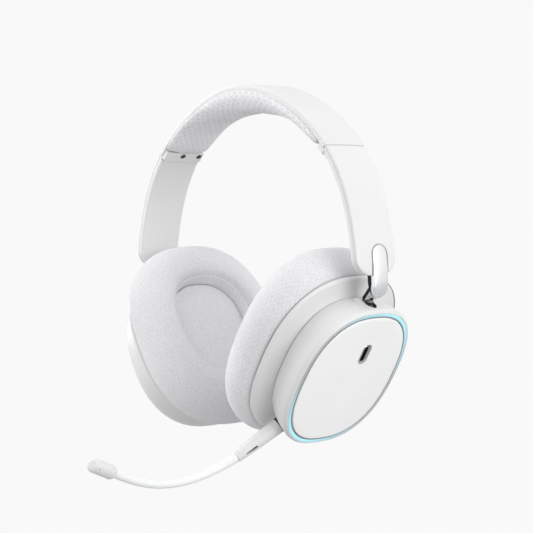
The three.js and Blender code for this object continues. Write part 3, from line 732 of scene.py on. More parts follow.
def build_clamp(side):
    """The plate that holds the cushion's end down, with its two countersunk screws."""
    outline = rectangle(length_at(53.8), length_at(58.2), 11.4, 0.9)
    plate = bent_plate("plate", outline, rounded_layers(3.06, ARM_THICK + 1.1, 0.1, 0.6), step=1.0)
    surface, seat = onto_band([(length_at(55.5), 0, depth) for depth in (0, ARM_THICK + 1.0)])
    out = unit(surface - seat)
    heads = {}
    for screw_name in ("_clamp_screw_front", "_clamp_screw_rear"):
        y = node_points("left" + screw_name)[:, 1].mean()
        heads[side + screw_name] = seat + np.array([0, y, 0])
    countersink = [(-1, 1.75), (0.35, 1.75), (0.6, 1.55), (4.2, 1.55)]
    cutters = [turned_mesh(head - out * 0.6, out, countersink) for head in heads.values()]
    detail(side + "_clamp_plate", carve(plate, cutters, "plate"), mirrored(side), WHITE)
    screw = [(0, 1.1), (0.08, 1.32), (0.3, 1.45), (0.9, 1.45), (1.05, 1.3), (1.1, 0.8),
             (3.1, 0.8), (3.2, 0.7)]
    for node, head in heads.items():
        socket = turned_mesh(head - out * 0.5, out, [(0, 0.72), (1.1, 0.72)], 6)
        detail(node, carve(turned_mesh(head, out, screw), [socket], "screw"), mirrored(side), GUNMETAL)


# ---------- sliders and knuckles ----------
def plate_ring(centre, out, half, thick, corner=0.3):
    """A rounded rectangle square to the strip's run: half its width along y, half its thickness along out."""
    ring = rounded_box((-half, -thick), (half, thick), corner, 4)
    return centre + np.outer(ring[:, 0], [0, 1, 0]) + np.outer(ring[:, 1], out)


def cover_base(s, straight=17.2, curl=9.0):
    """The place under the slider's cover at a length from its top, and its outward direction."""
    turn = max(s - straight, 0) / curl
    base = on_strip(COVER_TOP_Z - COVER_TOP) + SLIDE_DOWN * (min(s, straight) + curl * math.sin(turn))
    base = base + SLIDE_OUT * curl * (math.cos(turn) - 1)
    return base, SLIDE_OUT * math.cos(turn) + SLIDE_DOWN * math.sin(turn)


def cover_mesh(name, half, inner, outer, total, edge, swell=0.0):
    """A pill that runs down the strip and curls inwards at its lower end.

    The swell thickens the curl inwards."""
    arc = np.radians(np.linspace(3, 90, 12))
    ends = half * (1 - np.cos(arc))
    stations = np.concatenate([ends, np.linspace(half, total - half, 30)[1:-1], total - ends[::-1]])
    widths = np.concatenate([np.sin(arc), np.ones(28), np.sin(arc[::-1])]) * half
    rings = []
    for s, width in zip(stations, widths):
        base, out = cover_base(s)
        soft = min(edge, width * 0.8)
        low = min(0.15, width * 0.3)
        under = inner - swell * min(max((s - 18) / 3, 0), 1)
        corners = [(-width, under, low), (width, under, low), (width, outer, soft), (-width, outer, soft)]
        section = rounded(corners, 7)
        bow = 0.22 * (1 - (section[:, 0] / half) ** 2)
        bow += COVER_BOW * math.sin(math.pi * min(s / total, 1)) ** 0.8
        crown = bow * (section[:, 1] > (inner + outer) / 2)
        section[:, 1] += crown - 0.2 * (1 - width / half)
        rings.append(base + np.outer(section[:, 0], [0, 1, 0]) + np.outer(section[:, 1], out))
    return grid_mesh(name, rings)


def leg_half(t):
    """Half the width of the strip's leg at a share of its length."""
    return 4.0 - 0.4 * t + 0.5 * (1 - t) ** 3


def build_slider(side):
    """The strip: straight in the arm, bent inwards to a foot over the cup's hinge, with its cover outside."""
    cup_out, _, up = (unit(column) for column in np.array(CUP["left"])[:3, :3].T)
    pivot = np.array(joints["left_cup_tilt"]["pos_m"]) / MM
    bend = on_strip(BEND_Z)
    leg = pivot + up * FOOT_TOP - SLIDE_OUT * 2.2 - bend
    leg_out = unit([-leg[2], 0, leg[0]])
    top = STRIP_TOP[2]
    rings = [plate_ring(on_strip(top), SLIDE_OUT, 4.0, 0.5)]
    for z in (top - 1.5, *np.linspace(top - 3, BEND_Z + 1.5, 12)):
        rings.append(plate_ring(on_strip(z), SLIDE_OUT, 5.0, 0.5))
    rings.append(plate_ring(bend, unit(SLIDE_OUT + leg_out), 4.6, 0.62))
    for t in (0.12, 0.35, 0.6, 0.85, 1.0):
        rings.append(plate_ring(bend + leg * t, leg_out, leg_half(t), 0.6))
    outline = rounded_box((-2.6, -0.9), (1.0, 0.9), 0.8)
    sole = pivot + np.outer(outline[:, 0], cup_out) + np.outer(outline[:, 1], [0, 1, 0])
    foot = grid_mesh("foot", [sole + up * lift for lift in (FOOT_TOP - 0.4, FOOT_TOP)])
    strip_node = side + "_slider_strip"
    detail(strip_node, join_meshes(grid_mesh("strip", rings), foot, strip_node), mirrored(side), STEEL)
    face = [plate_ring(bend + leg * t + leg_out * 0.95 + [0, 0.35, 0], leg_out, leg_half(t) - 0.45, 0.34)
            for t in (0.1, 0.35, 0.6, 0.93)]
    face = grid_mesh("leg_face", face)
    make_piece(side + "_slider_leg_face", face, mirrored(side), GLOSSY, strip_node, "white_plastic")
    cover = cover_mesh("cover", COVER_HALF, 0.95, 2.75, COVER_LENGTH, 0.8)
    detail(side + "_slider_cover", cover, mirrored(side), COVER)
    backing = cover_mesh("backing", COVER_HALF - 0.05, 0.5, 0.93, COVER_LENGTH + 0.1, 0.1, 0.5)
    make_piece(side + "_slider_backing", backing, mirrored(side), BLACK, strip_node, "black_plastic")


def build_knuckle(side):
    """The post that swivels under the slider, with the eye for the tilt pin."""
    x, _, z = PIVOT
    ball = [(3.5 + 1.7 * math.sin(a), 1.7 * math.cos(a)) for a in np.radians(np.linspace(66, -36, 13))]
    post = [(5.5, 0.7), *ball, (2.2, 1.4), (1.0, 1.4)]
    stem = turned_mesh((x, 0, z), (0, 0, 1), post[::-1])
    eye = [(-2.2, 2.4), (-2.1, 2.75), (-1.8, 2.95), (1.8, 2.95), (2.1, 2.75), (2.2, 2.4)]
    barrel = turned_mesh((x, 0, z), (0, 1, 0), eye)
    bore = turned_mesh((x, 0, z), (0, 1, 0), [(-4, 1.25), (4, 1.25)])
    solid = join_meshes(stem, barrel, "knuckle")
    detail(side + "_knuckle", carve(solid, [bore], "knuckle"), CUP[side], GUNMETAL)
    pin = [(-4.4, 0.9), (-4.3, 1.1), (-4.1, 1.15), (4.1, 1.15), (4.3, 1.1), (4.4, 0.9)]
    detail(side + "_tilt_pin", turned_mesh((x, 0, z), (0, 1, 0), pin), CUP[side], CHROME)


# ---------- ear cups ----------
PIVOT = np.round(in_cup("left", joints["left_cup_tilt"]["pos_m"]), 3)
MIC_ROOT = np.array([-10.5, -19.2, -31.4])
MIC_ANGLE = 41.2


def mic_direction(degrees):
    """The direction to the front, and down by an angle, in the cup's middle plane."""
    turn = math.radians(degrees)
    return np.array([0, -math.cos(turn), -math.sin(turn)])


def oval_unit(steps=OVAL_STEPS):
    """The cup's oval with half sizes of one, at even turns."""
    c, s = np.cos(full_turn(steps)), np.sin(full_turn(steps))
    size = (np.abs(c) ** OVAL_EXPONENT + np.abs(s) ** OVAL_EXPONENT) ** (-1 / OVAL_EXPONENT)
    return np.stack([c * size, s * size], axis=1)


def oval_rings(profile, half=BODY_HALF, shift=(0, 0), steps=OVAL_STEPS):
    """Ovals from (x, inset) or (x, inset in y, inset in z)."""
    oval = oval_unit(steps)
    rings = []
    for row in profile:
        size = np.asarray(half) - np.array([row[1], row[-1]])
        ring = oval * size + np.asarray(shift)
        rings.append(np.column_stack([np.full(steps, row[0]), ring]))
    return np.array(rings)


def oval_mesh(name, profile, joined=False, half=BODY_HALF, shift=(0, 0)):
    """A solid through ovals, each set in from the outer one as its profile says."""
    return grid_mesh(name, oval_rings(profile, half, shift), joined)


def housing_profile():
    """The shell's section: a soft front rim, a flank that tapers to the valley, and the inside."""
    flank = spline([(-0.62, 1.02), (-1.25, 0.42), (-2.6, 0.0), (-6.5, 0.3), (-11.5, 1.4), (-15.9, 3.0)], 30)
    back = [(-16.3, 3.2), (-16.5, 3.5), (-16.5, 4.9), (-16.2, 5.25)]
    inside = [(-11.5, 3.6), (-5.4, 2.6), (-5.4, 5.6), (-3.5, 5.6), (-3.5, 1.45)]
    lip = [(-0.7, 1.45), (-0.52, 1.38), (-0.5, 1.24)]
    return [*flank.tolist(), *back, *inside, *lip]


def build_baffle(side):
    """The plate with the driver's opening, and its flange that carries the cushion."""
    flange = spline([(-16.85, 3.4), (-17.4, 2.3), (-18.2, 0.2), (-18.9, -2.6), (-19.4, -4.6), (-20.0, -5.35),
                     (-20.8, -5.6), (-21.4, -5.35), (-21.8, -4.6)], 34)
    profile = [(-19.6, 9.0), (-17.0, 5.6), (-16.8, 4.2), *flange.tolist(), (-21.8, 12.0)]
    opening = turned_mesh((-30, 0, 0), (1, 0, 0), [(0, 18.4), (22, 18.4)], 64)
    detail(side + "_baffle", carve(oval_mesh("baffle", profile), [opening], "baffle"), CUP[side], WHITE)


def build_seam_shade_ring(side):
    """A dark ring of painted shade between flange and cushion, standing for the crevice's shadow; thicker and
    further out at the cup's rear.
    """
    rim = -5.5 if side == "left" else -4.9
    # Painted shade: the ring lies in the crevice, so its dark shows as the crevice's shadow.
    seam_shade_ring = oval_rings([(0, rim), (-0.5, rim), (-0.5, 4), (0, 4)])
    seam_shade_ring[..., 0] *= 0.65 + 0.009 * seam_shade_ring[..., 1]
    seam_shade_ring[..., 0] += 0.023 * seam_shade_ring[..., 1] - 20.8
    seam_shade_ring[..., 1] += 0.5
    seam_shade_ring = grid_mesh("seam_shade_ring", seam_shade_ring, joined=True)
    make_piece(side + "_cushion_seam_shade_ring", seam_shade_ring, CUP[side], SEAM_SHADE, side + "_baffle", "black_plastic")


WHEEL_AT = in_cup("left", joints["volume_wheel_turn"]["pos_m"])
WHEEL_R = 7.4
# Each key on the rear edge: its node, height, the length of its hole and its own length.
KEYS = [("power_button", -23, 7.0, 6.4), ("mic_mute_button", 12, 9.0, 8.4)]


def rear_edge(z):
    """The shell's rear edge at a height: its y, and the turn about x from +y to its normal."""
    half_y, half_z = BODY_HALF - 1.1
    share = abs(z) / half_z
    y = half_y * (1 - share ** OVAL_EXPONENT) ** (1 / OVAL_EXPONENT)
    steep_z = (abs(z) / half_z) ** (OVAL_EXPONENT - 1) / half_z
    steep_y = (y / half_y) ** (OVAL_EXPONENT - 1) / half_y
    return y, math.atan2(math.copysign(steep_z, z), steep_y)


def on_rear_edge(mesh, z):
    """A key's mesh moved from the origin to the shell's rear edge, square to it."""
    y, turn = rear_edge(z)
    mesh.transform(Matrix.Translation((-10, y, z)) @ Matrix.Rotation(turn, 4, "X"))
    return mesh


def hinge_hole(inset, low, high):
    """The oval well that the knuckle's post stands in, as a solid between two heights over the tilt axis."""
    oval = circle((3.1 - inset, 0, 0), (0, 2.2 - inset, 0), 56) + PIVOT * [1, 0, 1]
    return grid_mesh("well", [oval + [1.5, 0, level] for level in (low, high)])


def build_housing(side):
    """The cup's shell, with the hinge's well and pin hole, and on the left the holes for the microphone, wheel and
    keys.
    """
    node = side + "_cup_housing"
    x, _, z = PIVOT
    body = oval_mesh("housing", housing_profile(), joined=True)
    block = box_mesh((8.4, 12.6, 6.6), (x, 0, z - 0.5))
    cutters = [
        box_mesh((8.2, 5.2, 4.0), (x + 0.9, 0, z + 1)),
        turned_mesh((x, -2.6, z), (0, 1, 0), [(0, 4.1), (5.2, 4.1)]),
        hinge_hole(0, 1.6, 11),
        turned_mesh((x, -4.8, z), (0, 1, 0), [(0, 1.35), (9.6, 1.35)]),
    ]
    if side == "left":
        away = mic_direction(MIC_ANGLE)
        cutters.append(turned_mesh(MIC_ROOT - away * 8, away, [(0, 3.9), (12, 3.9)], 48))
        cutters.append(box_mesh((4.4, 16, 2 * WHEEL_R + 0.8), WHEEL_AT + [0, 4, 0]))
        for _, height, hole_length, _ in KEYS:
            cutters.append(on_rear_edge(key_mesh(5.0, hole_length, -7, 5), height))
    detail(node, carve(join_meshes(body, block, "housing"), cutters, node), CUP[side], WHITE)
    sleeve = carve(hinge_hole(0.03, 1.7, 3.3), [hinge_hole(0.35, 0, 9)], "sleeve")
    make_piece(side + "_hinge_sleeve", sleeve, CUP[side], BLACK, node, "black_plastic")


def key_mesh(width, length, low, high, edge=0.0):
    """A key with round ends, standing along y; a soft edge and a slight dish at its top."""
    corner = width * 0.46
    section = rounded_box((-width / 2, -length / 2), (width / 2, length / 2), corner, 8)
    levels = [(low, 0.0), (high - edge, 0.0)]
    if edge:
        levels += [(high - edge * 0.35, edge * 0.25), (high, edge), (high - 0.12, edge + 0.7)]
    rings = []
    for y, inset in levels:
        ring = section * (1 - 2 * inset / np.array([width, length]))
        rings.append(np.column_stack([ring[:, 0], np.full(len(ring), y), ring[:, 1]]))
    return grid_mesh("key", rings)


# The port's mount is the flat of the plate to the rear of the socket.
PORT = in_cup("left", mount_of("usb_c_port")["pos_m"])[1:] - [4.4, 0]
PORT_STRAIGHT = 5.8


def port_rings(profile, sides=48):
    """Upright pill outlines round the port's middle, from (x, radius)."""
    turn = full_turn(sides) + math.pi / sides
    lift = np.sign(np.sin(turn)) * PORT_STRAIGHT / 2
    y, z = PORT
    return [np.column_stack([np.full(sides, x), y + r * np.cos(turn), z + lift + r * np.sin(turn)])
            for x, r in profile]


def build_face_plate(side):
    """The outer plate: a slightly domed face with a soft edge, and on the left the socket's bevel."""
    edge = [(-3.1, 3.9), (-2.9, 3.7), (-0.75, 3.7), (-0.42, 3.78), (-0.2, 3.98), (-0.08, 4.3), (-0.05, 4.8)]
    face = [(-0.05 + 0.05 * t, 4.8 + 22 * t) for t in np.linspace(0, 1, 12)[1:]]
    mesh = oval_mesh("plate", edge + face)
    if side == "left":
        hole = grid_mesh("port_hole", port_rings([(1, 3.35), (0, 2.65), (-0.7, 1.9), (-5, 1.85)]))
        mesh = carve(mesh, [hole], "plate")
    # Painted light: the plate wears the brighter copy of the white plastic.
    detail(side + "_face_plate", mesh, CUP[side], PLATE_LIT_WHITE)


def build_light_ring(side):
    """The light guide round the face plate. Its glow is strongest at the upper front and the lower rear."""
    node = side + "_light_ring"
    trim = rounded([(-0.45, 3.12, 0.1), (-3.2, 3.12, 0.1), (-3.2, 3.5, 0.1), (-0.35, 3.5, 0.1)], 4)
    trim = oval_mesh("trim", trim, joined=True)
    make_piece(node + "_trim", trim, CUP[side], TRIM, node, "bright_metal")
    section = rounded([(-0.35, 1.6, 0.4), (-3.2, 1.6, 0.2), (-3.2, 3.05, 0.2), (-0.42, 3.05, 0.35)], 5)
    mesh = oval_mesh("ring", section, joined=True)
    points = np.array([v.co for v in mesh.vertices])
    turn = np.degrees(np.arctan2(points[:, 2], points[:, 1]))
    level = np.zeros(len(points))
    for centre in (62.0, -118.0):
        away = np.abs((turn - centre + 180) % 360 - 180)
        level = np.maximum(level, np.clip(1.15 - away / 60.0, 0, 1))
    set_values(mesh, "glow", level ** 1.3)
    detail(node, mesh, CUP[side], LIGHT)


def build_cup(side):
    build_housing(side)
    build_baffle(side)
    build_seam_shade_ring(side)
    build_face_plate(side)
    build_light_ring(side)
    build_screen(side)
    build_ear_cushion(side)
    build_knuckle(side)


# ---------- knitted cushions ----------
def finer_grid(grid, factors, closed):
    """A grid with rows and columns added between its own."""
    grid = catmull_rom(grid, factors[0], closed[0])
    return catmull_rom(grid.transpose(1, 0, 2), factors[1], closed[1]).transpose(1, 0, 2)


def grid_normals(grid, closed):
    """A unit normal at each point of a grid. closed says, for each direction, whether it joins up."""
    def slope(axis):
        if closed[axis]:
            return np.roll(grid, -1, axis) - np.roll(grid, 1, axis)
        return np.gradient(grid, axis=axis)

    normal = np.cross(slope(0), slope(1))
    return normal / np.maximum(np.linalg.norm(normal, axis=2, keepdims=True), 1e-9)


SCALE_RADIUS = 0.56


def scales(u, v, cell):
    """Knit relief from 0 to 1: round scales in staggered rows, each lapping over the row below it."""
    x, y = u / cell, 2 * v / cell
    height = np.zeros_like(x)
    for back in (0, -1, -2):
        row = np.floor(y) + back
        dx = np.mod(x - 0.5 * np.mod(row, 2) + 0.5, 1) - 0.5
        dy = (y - row) / 2
        far = np.hypot(dx, dy) / SCALE_RADIUS
        rise = (0.42 + 0.62 * np.clip(dy / SCALE_RADIUS, 0, 1)) * np.clip((1 - far) * 6, 0, 1) ** 0.5
        height = np.where((far < 1) & (dy >= 0), rise, height)
    return height


PRESSURE = 4.0
CLOTH_LIMIT = 1.6
CLOTH_FRAMES = 20


def inflate(name, grid, closed, pinned):
    """A cloth pass: the grid's skin is blown up under pressure, held where it is pinned.

    No point moves further than the limit."""
    count, size = grid.shape[:2]
    mesh = bpy.data.meshes.new(name)
    mesh.from_pydata((grid.reshape(-1, 3) * MM).tolist(), [], grid_faces(count, size, *closed))
    bm = bmesh.new()
    bm.from_mesh(mesh)
    bmesh.ops.holes_fill(bm, edges=[e for e in bm.edges if len(e.link_faces) == 1])
    bmesh.ops.recalc_face_normals(bm, faces=bm.faces)
    bm.to_mesh(mesh)
    bm.free()
    obj = add_object(name, mesh)
    held = obj.vertex_groups.new(name="held")
    held.add([int(i) for i in np.flatnonzero(pinned.ravel())], 1.0, "REPLACE")
    cloth = obj.modifiers.new("cloth", "CLOTH")
    settings = cloth.settings
    settings.vertex_group_mass = "held"
    settings.quality = 6
    settings.mass = 0.2
    settings.tension_stiffness = 12
    settings.compression_stiffness = 12
    settings.shear_stiffness = 6
    settings.bending_stiffness = 0.6
    settings.use_pressure = True
    settings.uniform_pressure_force = PRESSURE
    settings.effector_weights.gravity = 0
    cloth.point_cache.frame_start = 1
    cloth.point_cache.frame_end = CLOTH_FRAMES
    scene = bpy.context.scene
    for number in range(1, CLOTH_FRAMES + 1):
        scene.frame_set(number)
        bpy.context.view_layer.update()
    graph = bpy.context.evaluated_depsgraph_get()
    settled = obj.evaluated_get(graph).to_mesh()
    moved = np.zeros(len(settled.vertices) * 3)
    settled.vertices.foreach_get("co", moved)
    moved = moved.reshape(-1, 3)[:count * size].reshape(count, size, 3) / MM
    scene.frame_set(1)
    bpy.data.objects.remove(obj)
    move = moved - grid
    far = np.linalg.norm(move, axis=2, keepdims=True)
    print(name, "cloth moved", round(float(far.mean()), 3), "mean", round(float(far.max()), 3), "max")
    return grid + move * np.minimum(1, CLOTH_LIMIT / np.maximum(far, 1e-6))


def knit_skin(name, base, target, closed, factors, pinned, cell, depth, sizes, rows_along=False):
    """A cushion's skin: a cloth pass over the base grid, brought to the target's fullness, with its knit.

    sizes is the skin's size in millimetres along both directions of the grid."""
    settled = inflate(name + "_pass", base, closed, pinned)
    normals = grid_normals(target, closed)
    gap = np.sum((target - settled) * normals, axis=2)
    free = ~pinned
    settled = settled + normals * np.where(free, gap[free].mean(), gap)[..., None]
    settled = np.where(pinned[..., None], target, settled)
    grid = finer_grid(settled, factors, closed)
    rows, columns = grid.shape[:2]
    u = np.linspace(0, sizes[0], rows, endpoint=not closed[0])
    v = np.linspace(0, sizes[1], columns, endpoint=not closed[1])
    uu, vv = np.meshgrid(u, v, indexing="ij")
    knit = scales(vv, uu, cell) if rows_along else scales(uu, vv, cell)
    outward = grid_normals(grid, closed)
    moved = grid + outward * (knit * depth - depth)[..., None]
    ends = [np.linspace(0, size, n + 1) for size, n in zip(sizes, (rows, columns))]
    mesh = grid_mesh(name, moved, joined=closed[0], uv=ends, wrap=closed[1])
    set_values(mesh, "relief", knit.ravel())
    return mesh


def facing_out(grid, closed):
    """Whether a grid's own normals point out of the solid."""
    centre = grid.mean(axis=1, keepdims=True)
    return np.sum((grid - centre) * grid_normals(grid, closed)) > 0


def whole_cells(section, cell):
    """The length round a section, to the nearest whole number of knit cells."""
    return round(float(np.linalg.norm(np.diff(section, axis=0), axis=1).sum()) / cell) * cell


# ---------- headband cushion ----------
PAD_THICK = 10.6
PAD_TAPER = 4.4
PAD_HALF = 13.7
PAD_TOP = CROWN_THICK + 0.4
PAD_CELL = 3.9


def pad_section(degrees, shrink=0.0):
    """The cushion's section at a bearing, as (y, depth): flat under the shell, and full below."""
    drop = math.hypot(degrees, 12) - 12
    thick = PAD_THICK - PAD_TAPER * drop / (math.hypot(PAD_END_ANGLE, 12) - 12)
    thick -= 2.0 * (abs(degrees) / PAD_END_ANGLE) ** 8
    thick += 0.5 - 1.9 * math.sin(math.pi * (abs(degrees) / PAD_END_ANGLE) ** 1.7) ** 2
    half = PAD_HALF - 1.2 * (abs(degrees) / PAD_END_ANGLE) ** 8
    bottom = PAD_TOP + thick
    side = [(half - 3.2, PAD_TOP + 0.1), (half - 1.4, PAD_TOP + 0.95), (half - 0.3, PAD_TOP + thick * 0.26),
            (half, PAD_TOP + thick * 0.42), (half - 0.85, PAD_TOP + thick * 0.66),
            (half - 3.2, bottom - 1.1), (half - 7, bottom - 0.05)]
    loop = [(0, PAD_TOP), (half * 0.5, PAD_TOP), *side, (0, bottom)]
    loop += [(-y, d) for y, d in side[::-1]] + [(-half * 0.5, PAD_TOP)]
    section = spline(loop, 44, closed=True)
    middle = np.array([0, (PAD_TOP + bottom) / 2])
    return middle + (section - middle) * (1 - shrink * np.array([0.5, 1.0]))


def build_pad():
    """The headband's cushion: sections along the band that close in at its ends, held at top and ends."""
    ends = np.array([0.0, 0.35, 1.1, 2.6])
    limit = length_at(PAD_END_ANGLE)
    inner = np.linspace(-(limit - 5.0), limit - 5.0, 34)
    lengths = np.concatenate([-(limit - ends), inner, (limit - ends)[::-1]])
    pull = np.concatenate([[0.13, 0.055, 0.015, 0], np.zeros(len(inner)), [0, 0.015, 0.055, 0.13]])

    def grid(shrink):
        rows = []
        for s, end in zip(lengths, pull):
            bearing = math.degrees(np.interp(s, BAND_LENGTH, BEARINGS))
            section = pad_section(bearing, shrink + end)
            rows.append(onto_band(np.column_stack([np.full(len(section), s), section])))
        return np.array(rows)

    target, base = grid(0.0), grid(0.10)
    if not facing_out(target, (False, True)):
        target, base = target[:, ::-1], base[:, ::-1]
    seat = onto_band([(s, 0, PAD_TOP + 0.9) for s in lengths])
    height = np.hypot(target[..., 0], target[..., 2] - BAND_CENTRE_Z)
    held = height > np.hypot(seat[:, 0], seat[:, 2] - BAND_CENTRE_Z)[:, None]
    held[[0, 1, -2, -1]] = True
    sizes = (2 * limit * 0.9, whole_cells(pad_section(0), PAD_CELL))
    name = "headband_cushion_knit"
    mesh = knit_skin(name, base, target, (False, True), (11, 6), held, PAD_CELL, 0.18, sizes, True)
    pad = make_piece(name, mesh, TO_METRES, KNIT, "headband_cushion")


# ---------- ear cushions ----------
# The roll's section, as (x, inset in y, inset in z) from the cushion's outer oval.
ROLL = [(-22.1, 4.0, 4.0), (-23.6, 2.0, 2.0), (-27, 0.5, 0.5), (-32, 0, 0), (-38, 1.2, 1.2),
        (-43.5, 4.6, 4.6), (-47.4, 9.2, 10), (-48.6, 12.8, 15), (-47.4, 15.8, 19.4), (-44, 17.6, 22),
        (-34, 18.2, 22.6), (-26, 18.0, 22.4), (-22.3, 16.4, 20.8), (-22.1, 10, 12)]
EAR_CELL = 2.6
EAR_ROUND = round(235 / EAR_CELL) * EAR_CELL


def build_ear_cushion(side):
    """A torus of knit over foam: the roll's section swept round the oval, held at its back."""
    section = spline(ROLL, 26, closed=True)
    middle = section.mean(axis=0)

    def grid(shrink):
        roll = middle + (section - middle) * (1 - shrink)
        return oval_rings(roll, CUSHION_HALF, CUSHION_SHIFT, 64).transpose(1, 0, 2)

    target, base = grid(0.0), grid(0.07)
    if not facing_out(target, (True, True)):
        target, base = target[:, ::-1], base[:, ::-1]
    held = target[..., 0] > -23.2
    sizes = (EAR_ROUND, whole_cells(section, EAR_CELL))
    node = side + "_ear_cushion"
    mesh = knit_skin(node + "_knit", base, target, (True, True), (13, 9), held, EAR_CELL, 0.12, sizes)
    cushion = make_piece(node + "_knit", mesh, CUP[side], EAR_KNIT, node)
    build_lining(side)


def build_lining(side):
    """The smooth band inside the cushion's opening, with a piped edge at the knit and at the screen."""
    section = [(-43.2, 17.75, 22.15), (-43.5, 18.05, 22.45), (-43.2, 18.3, 22.7), (-42.4, 18.25, 22.65),
               (-40.5, 18.4, 22.8), (-37.6, 18.6, 23.0), (-35.6, 18.7, 23.1), (-35.2, 18.9, 23.3),
               (-34.8, 18.7, 23.1), (-34.8, 18.2, 22.6), (-38, 18.0, 22.4)]
    mesh = oval_mesh("lining", spline(section, 60, closed=True), True, CUSHION_HALF, CUSHION_SHIFT)
    add_cloth(mesh, 1.3, [0.85] * len(mesh.vertices))
    node = side + "_ear_cushion"
    make_piece(node + "_lining", mesh, CUP[side], LINING, node, "knit_fabric")


def add_cloth(mesh, scale, relief):
    """Flat cloth coordinates, from y and z, and a relief for each vertex."""
    layer = mesh.uv_layers.new(name="cloth")
    for loop in mesh.loops:
        co = mesh.vertices[loop.vertex_index].co
        layer.data[loop.index].uv = (co.y * scale, co.z * scale)
    set_values(mesh, "relief", relief)


SCREEN_X = -36.4


def build_screen(side):
    """The cloth over the driver: a shallow dome in fine knit that tucks down at its edge."""
    oval = oval_unit(420)
    half = CUSHION_HALF - np.array([18.7, 23.1])
    shares = np.concatenate([[1.0, 0.995, 0.985], np.linspace(0.97, 0.02, 72)])
    drops = np.concatenate([[2.6, 1.5, 0.7], np.zeros(72)])
    rows = []
    for share, drop in zip(shares, drops):
        ring = oval * half * share + CUSHION_SHIFT
        x = SCREEN_X + drop - 2.2 * (1 - share ** 2)
        rows.append(np.column_stack([np.full(len(ring), x), ring]))
    grid = np.array(rows)
    knit = scales(grid[..., 1], grid[..., 2], 2.4)
    grid[..., 0] -= knit * 0.06
    mesh = grid_mesh("screen", grid)
    add_cloth(mesh, 1, knit.ravel())
    detail(side + "_ear_screen", mesh, CUP[side], SCREEN)


# ---------- the left cup's controls and socket ----------
def build_controls():
    """The knurled volume wheel and the two keys on the rear edge."""
    x, y, z = WHEEL_AT
    knurls = 60
    turn = full_turn(knurls * 6)
    ridge = 0.5 - 0.5 * np.cos(turn * knurls)
    half_section = [(1.2, WHEEL_R, 1), (1.6, 7.0, 0.4), (1.8, 6.7, 0), (1.8, 5.6, 0)]
    section = [(-step, radius, share) for step, radius, share in half_section[::-1]] + half_section
    rings = []
    for step, radius, share in section:
        r = radius - 0.35 * share * ridge
        ring = [np.full(len(turn), x + step), y + r * np.cos(turn), z + r * np.sin(turn)]
        rings.append(np.column_stack(ring))
    axle_hole = turned_mesh((x - 3, y, z), (1, 0, 0), [(0, 1.07), (6, 1.07)])
    wheel = carve(grid_mesh("wheel", rings), [axle_hole], "wheel")
    detail("volume_wheel", wheel, CUP["left"], SOFT_BLACK)
    for node, height, _, length in KEYS:
        detail(node, on_rear_edge(key_mesh(4.4, length, -5, 1.2, 0.5), height), CUP["left"], KEY)


def build_socket():
    """The charging socket: its metal shell, its tongue and a grey ring of painted shade on the bevel round it."""
    shell = grid_mesh("shell", port_rings([(-7.6, 1.5), (-7.5, 1.6), (-0.62, 1.6), (-0.5, 1.5)]))
    bore = grid_mesh("bore", port_rings([(-7.2, 1.25), (-0.7, 1.25), (2, 1.4)]))
    detail("usb_c_shell", carve(shell, [bore], "shell"), CUP["left"], CHROME)
    section = [(-0.78, 1.93), (-0.7, 1.97), (-0.06, 2.66), (0.0, 2.74),
               (-0.02, 2.6), (-0.12, 2.42), (-0.66, 1.82), (-0.78, 1.8)]
    # Painted shade: a grey ring on the bevel's walls, where they would lie in shade.
    shade_piece = grid_mesh("shade_piece", port_rings(section), joined=True)
    make_piece("usb_c_shade_piece", shade_piece, CUP["left"], SHADOW_GREY, "left_face_plate", "bright_metal")
    refined("usb_c_tongue", BLACK, 0.08)


# ---------- microphone ----------
NECK_START_ANGLE = 33.0
NECK_SWEEP = 60.0
NECK_LENGTH = 77.0
SEGMENT_STEPS = 60
NECK_STEPS = 4 * SEGMENT_STEPS


def neck_line():
    """The neck's centre line in the cup's middle plane: it leaves the rod and turns up in an even sweep."""
    at = MIC_ROOT + mic_direction(MIC_ANGLE) * 27
    line = [at]
    for i in range(NECK_STEPS):
        angle = NECK_START_ANGLE - NECK_SWEEP * math.sin(math.pi / 2 * i / NECK_STEPS) ** 1.3
        at = at + mic_direction(angle) * NECK_LENGTH / NECK_STEPS
        line.append(at)
    return np.array(line)


def build_neck():
    """A sleeve over the gooseneck, in four lengths that each run across one hinge.

    They meet in the middles of the segments. The first starts in the rod and the last ends at the capsule."""
    line = neck_line()
    tangent = unit_rows(np.gradient(line, axis=0))
    stops = [0, 30, 90, 150, NECK_STEPS]
    for k in range(4):
        rings = []
        for i in range(stops[k], stops[k + 1] + 1, 2):
            ring = circle(np.cross(tangent[i], [1, 0, 0]), [1, 0, 0], 32)
            rings.append(line[i] + ring * (NECK_R + 0.55 * math.exp(-i / 45)))
        name = f"mic_neck_sleeve_{k + 1}"
        node = f"mic_neck_{k + 1}"
        mesh = grid_mesh(name, rings)
        mesh.transform(CUP["left"])
        obj = add_object(name, mesh)
        mesh.materials.append(SLEEVE)
        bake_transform(obj)
        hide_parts(node)


def build_mic():
    build_mic_base()
    build_neck()
    build_capsule()


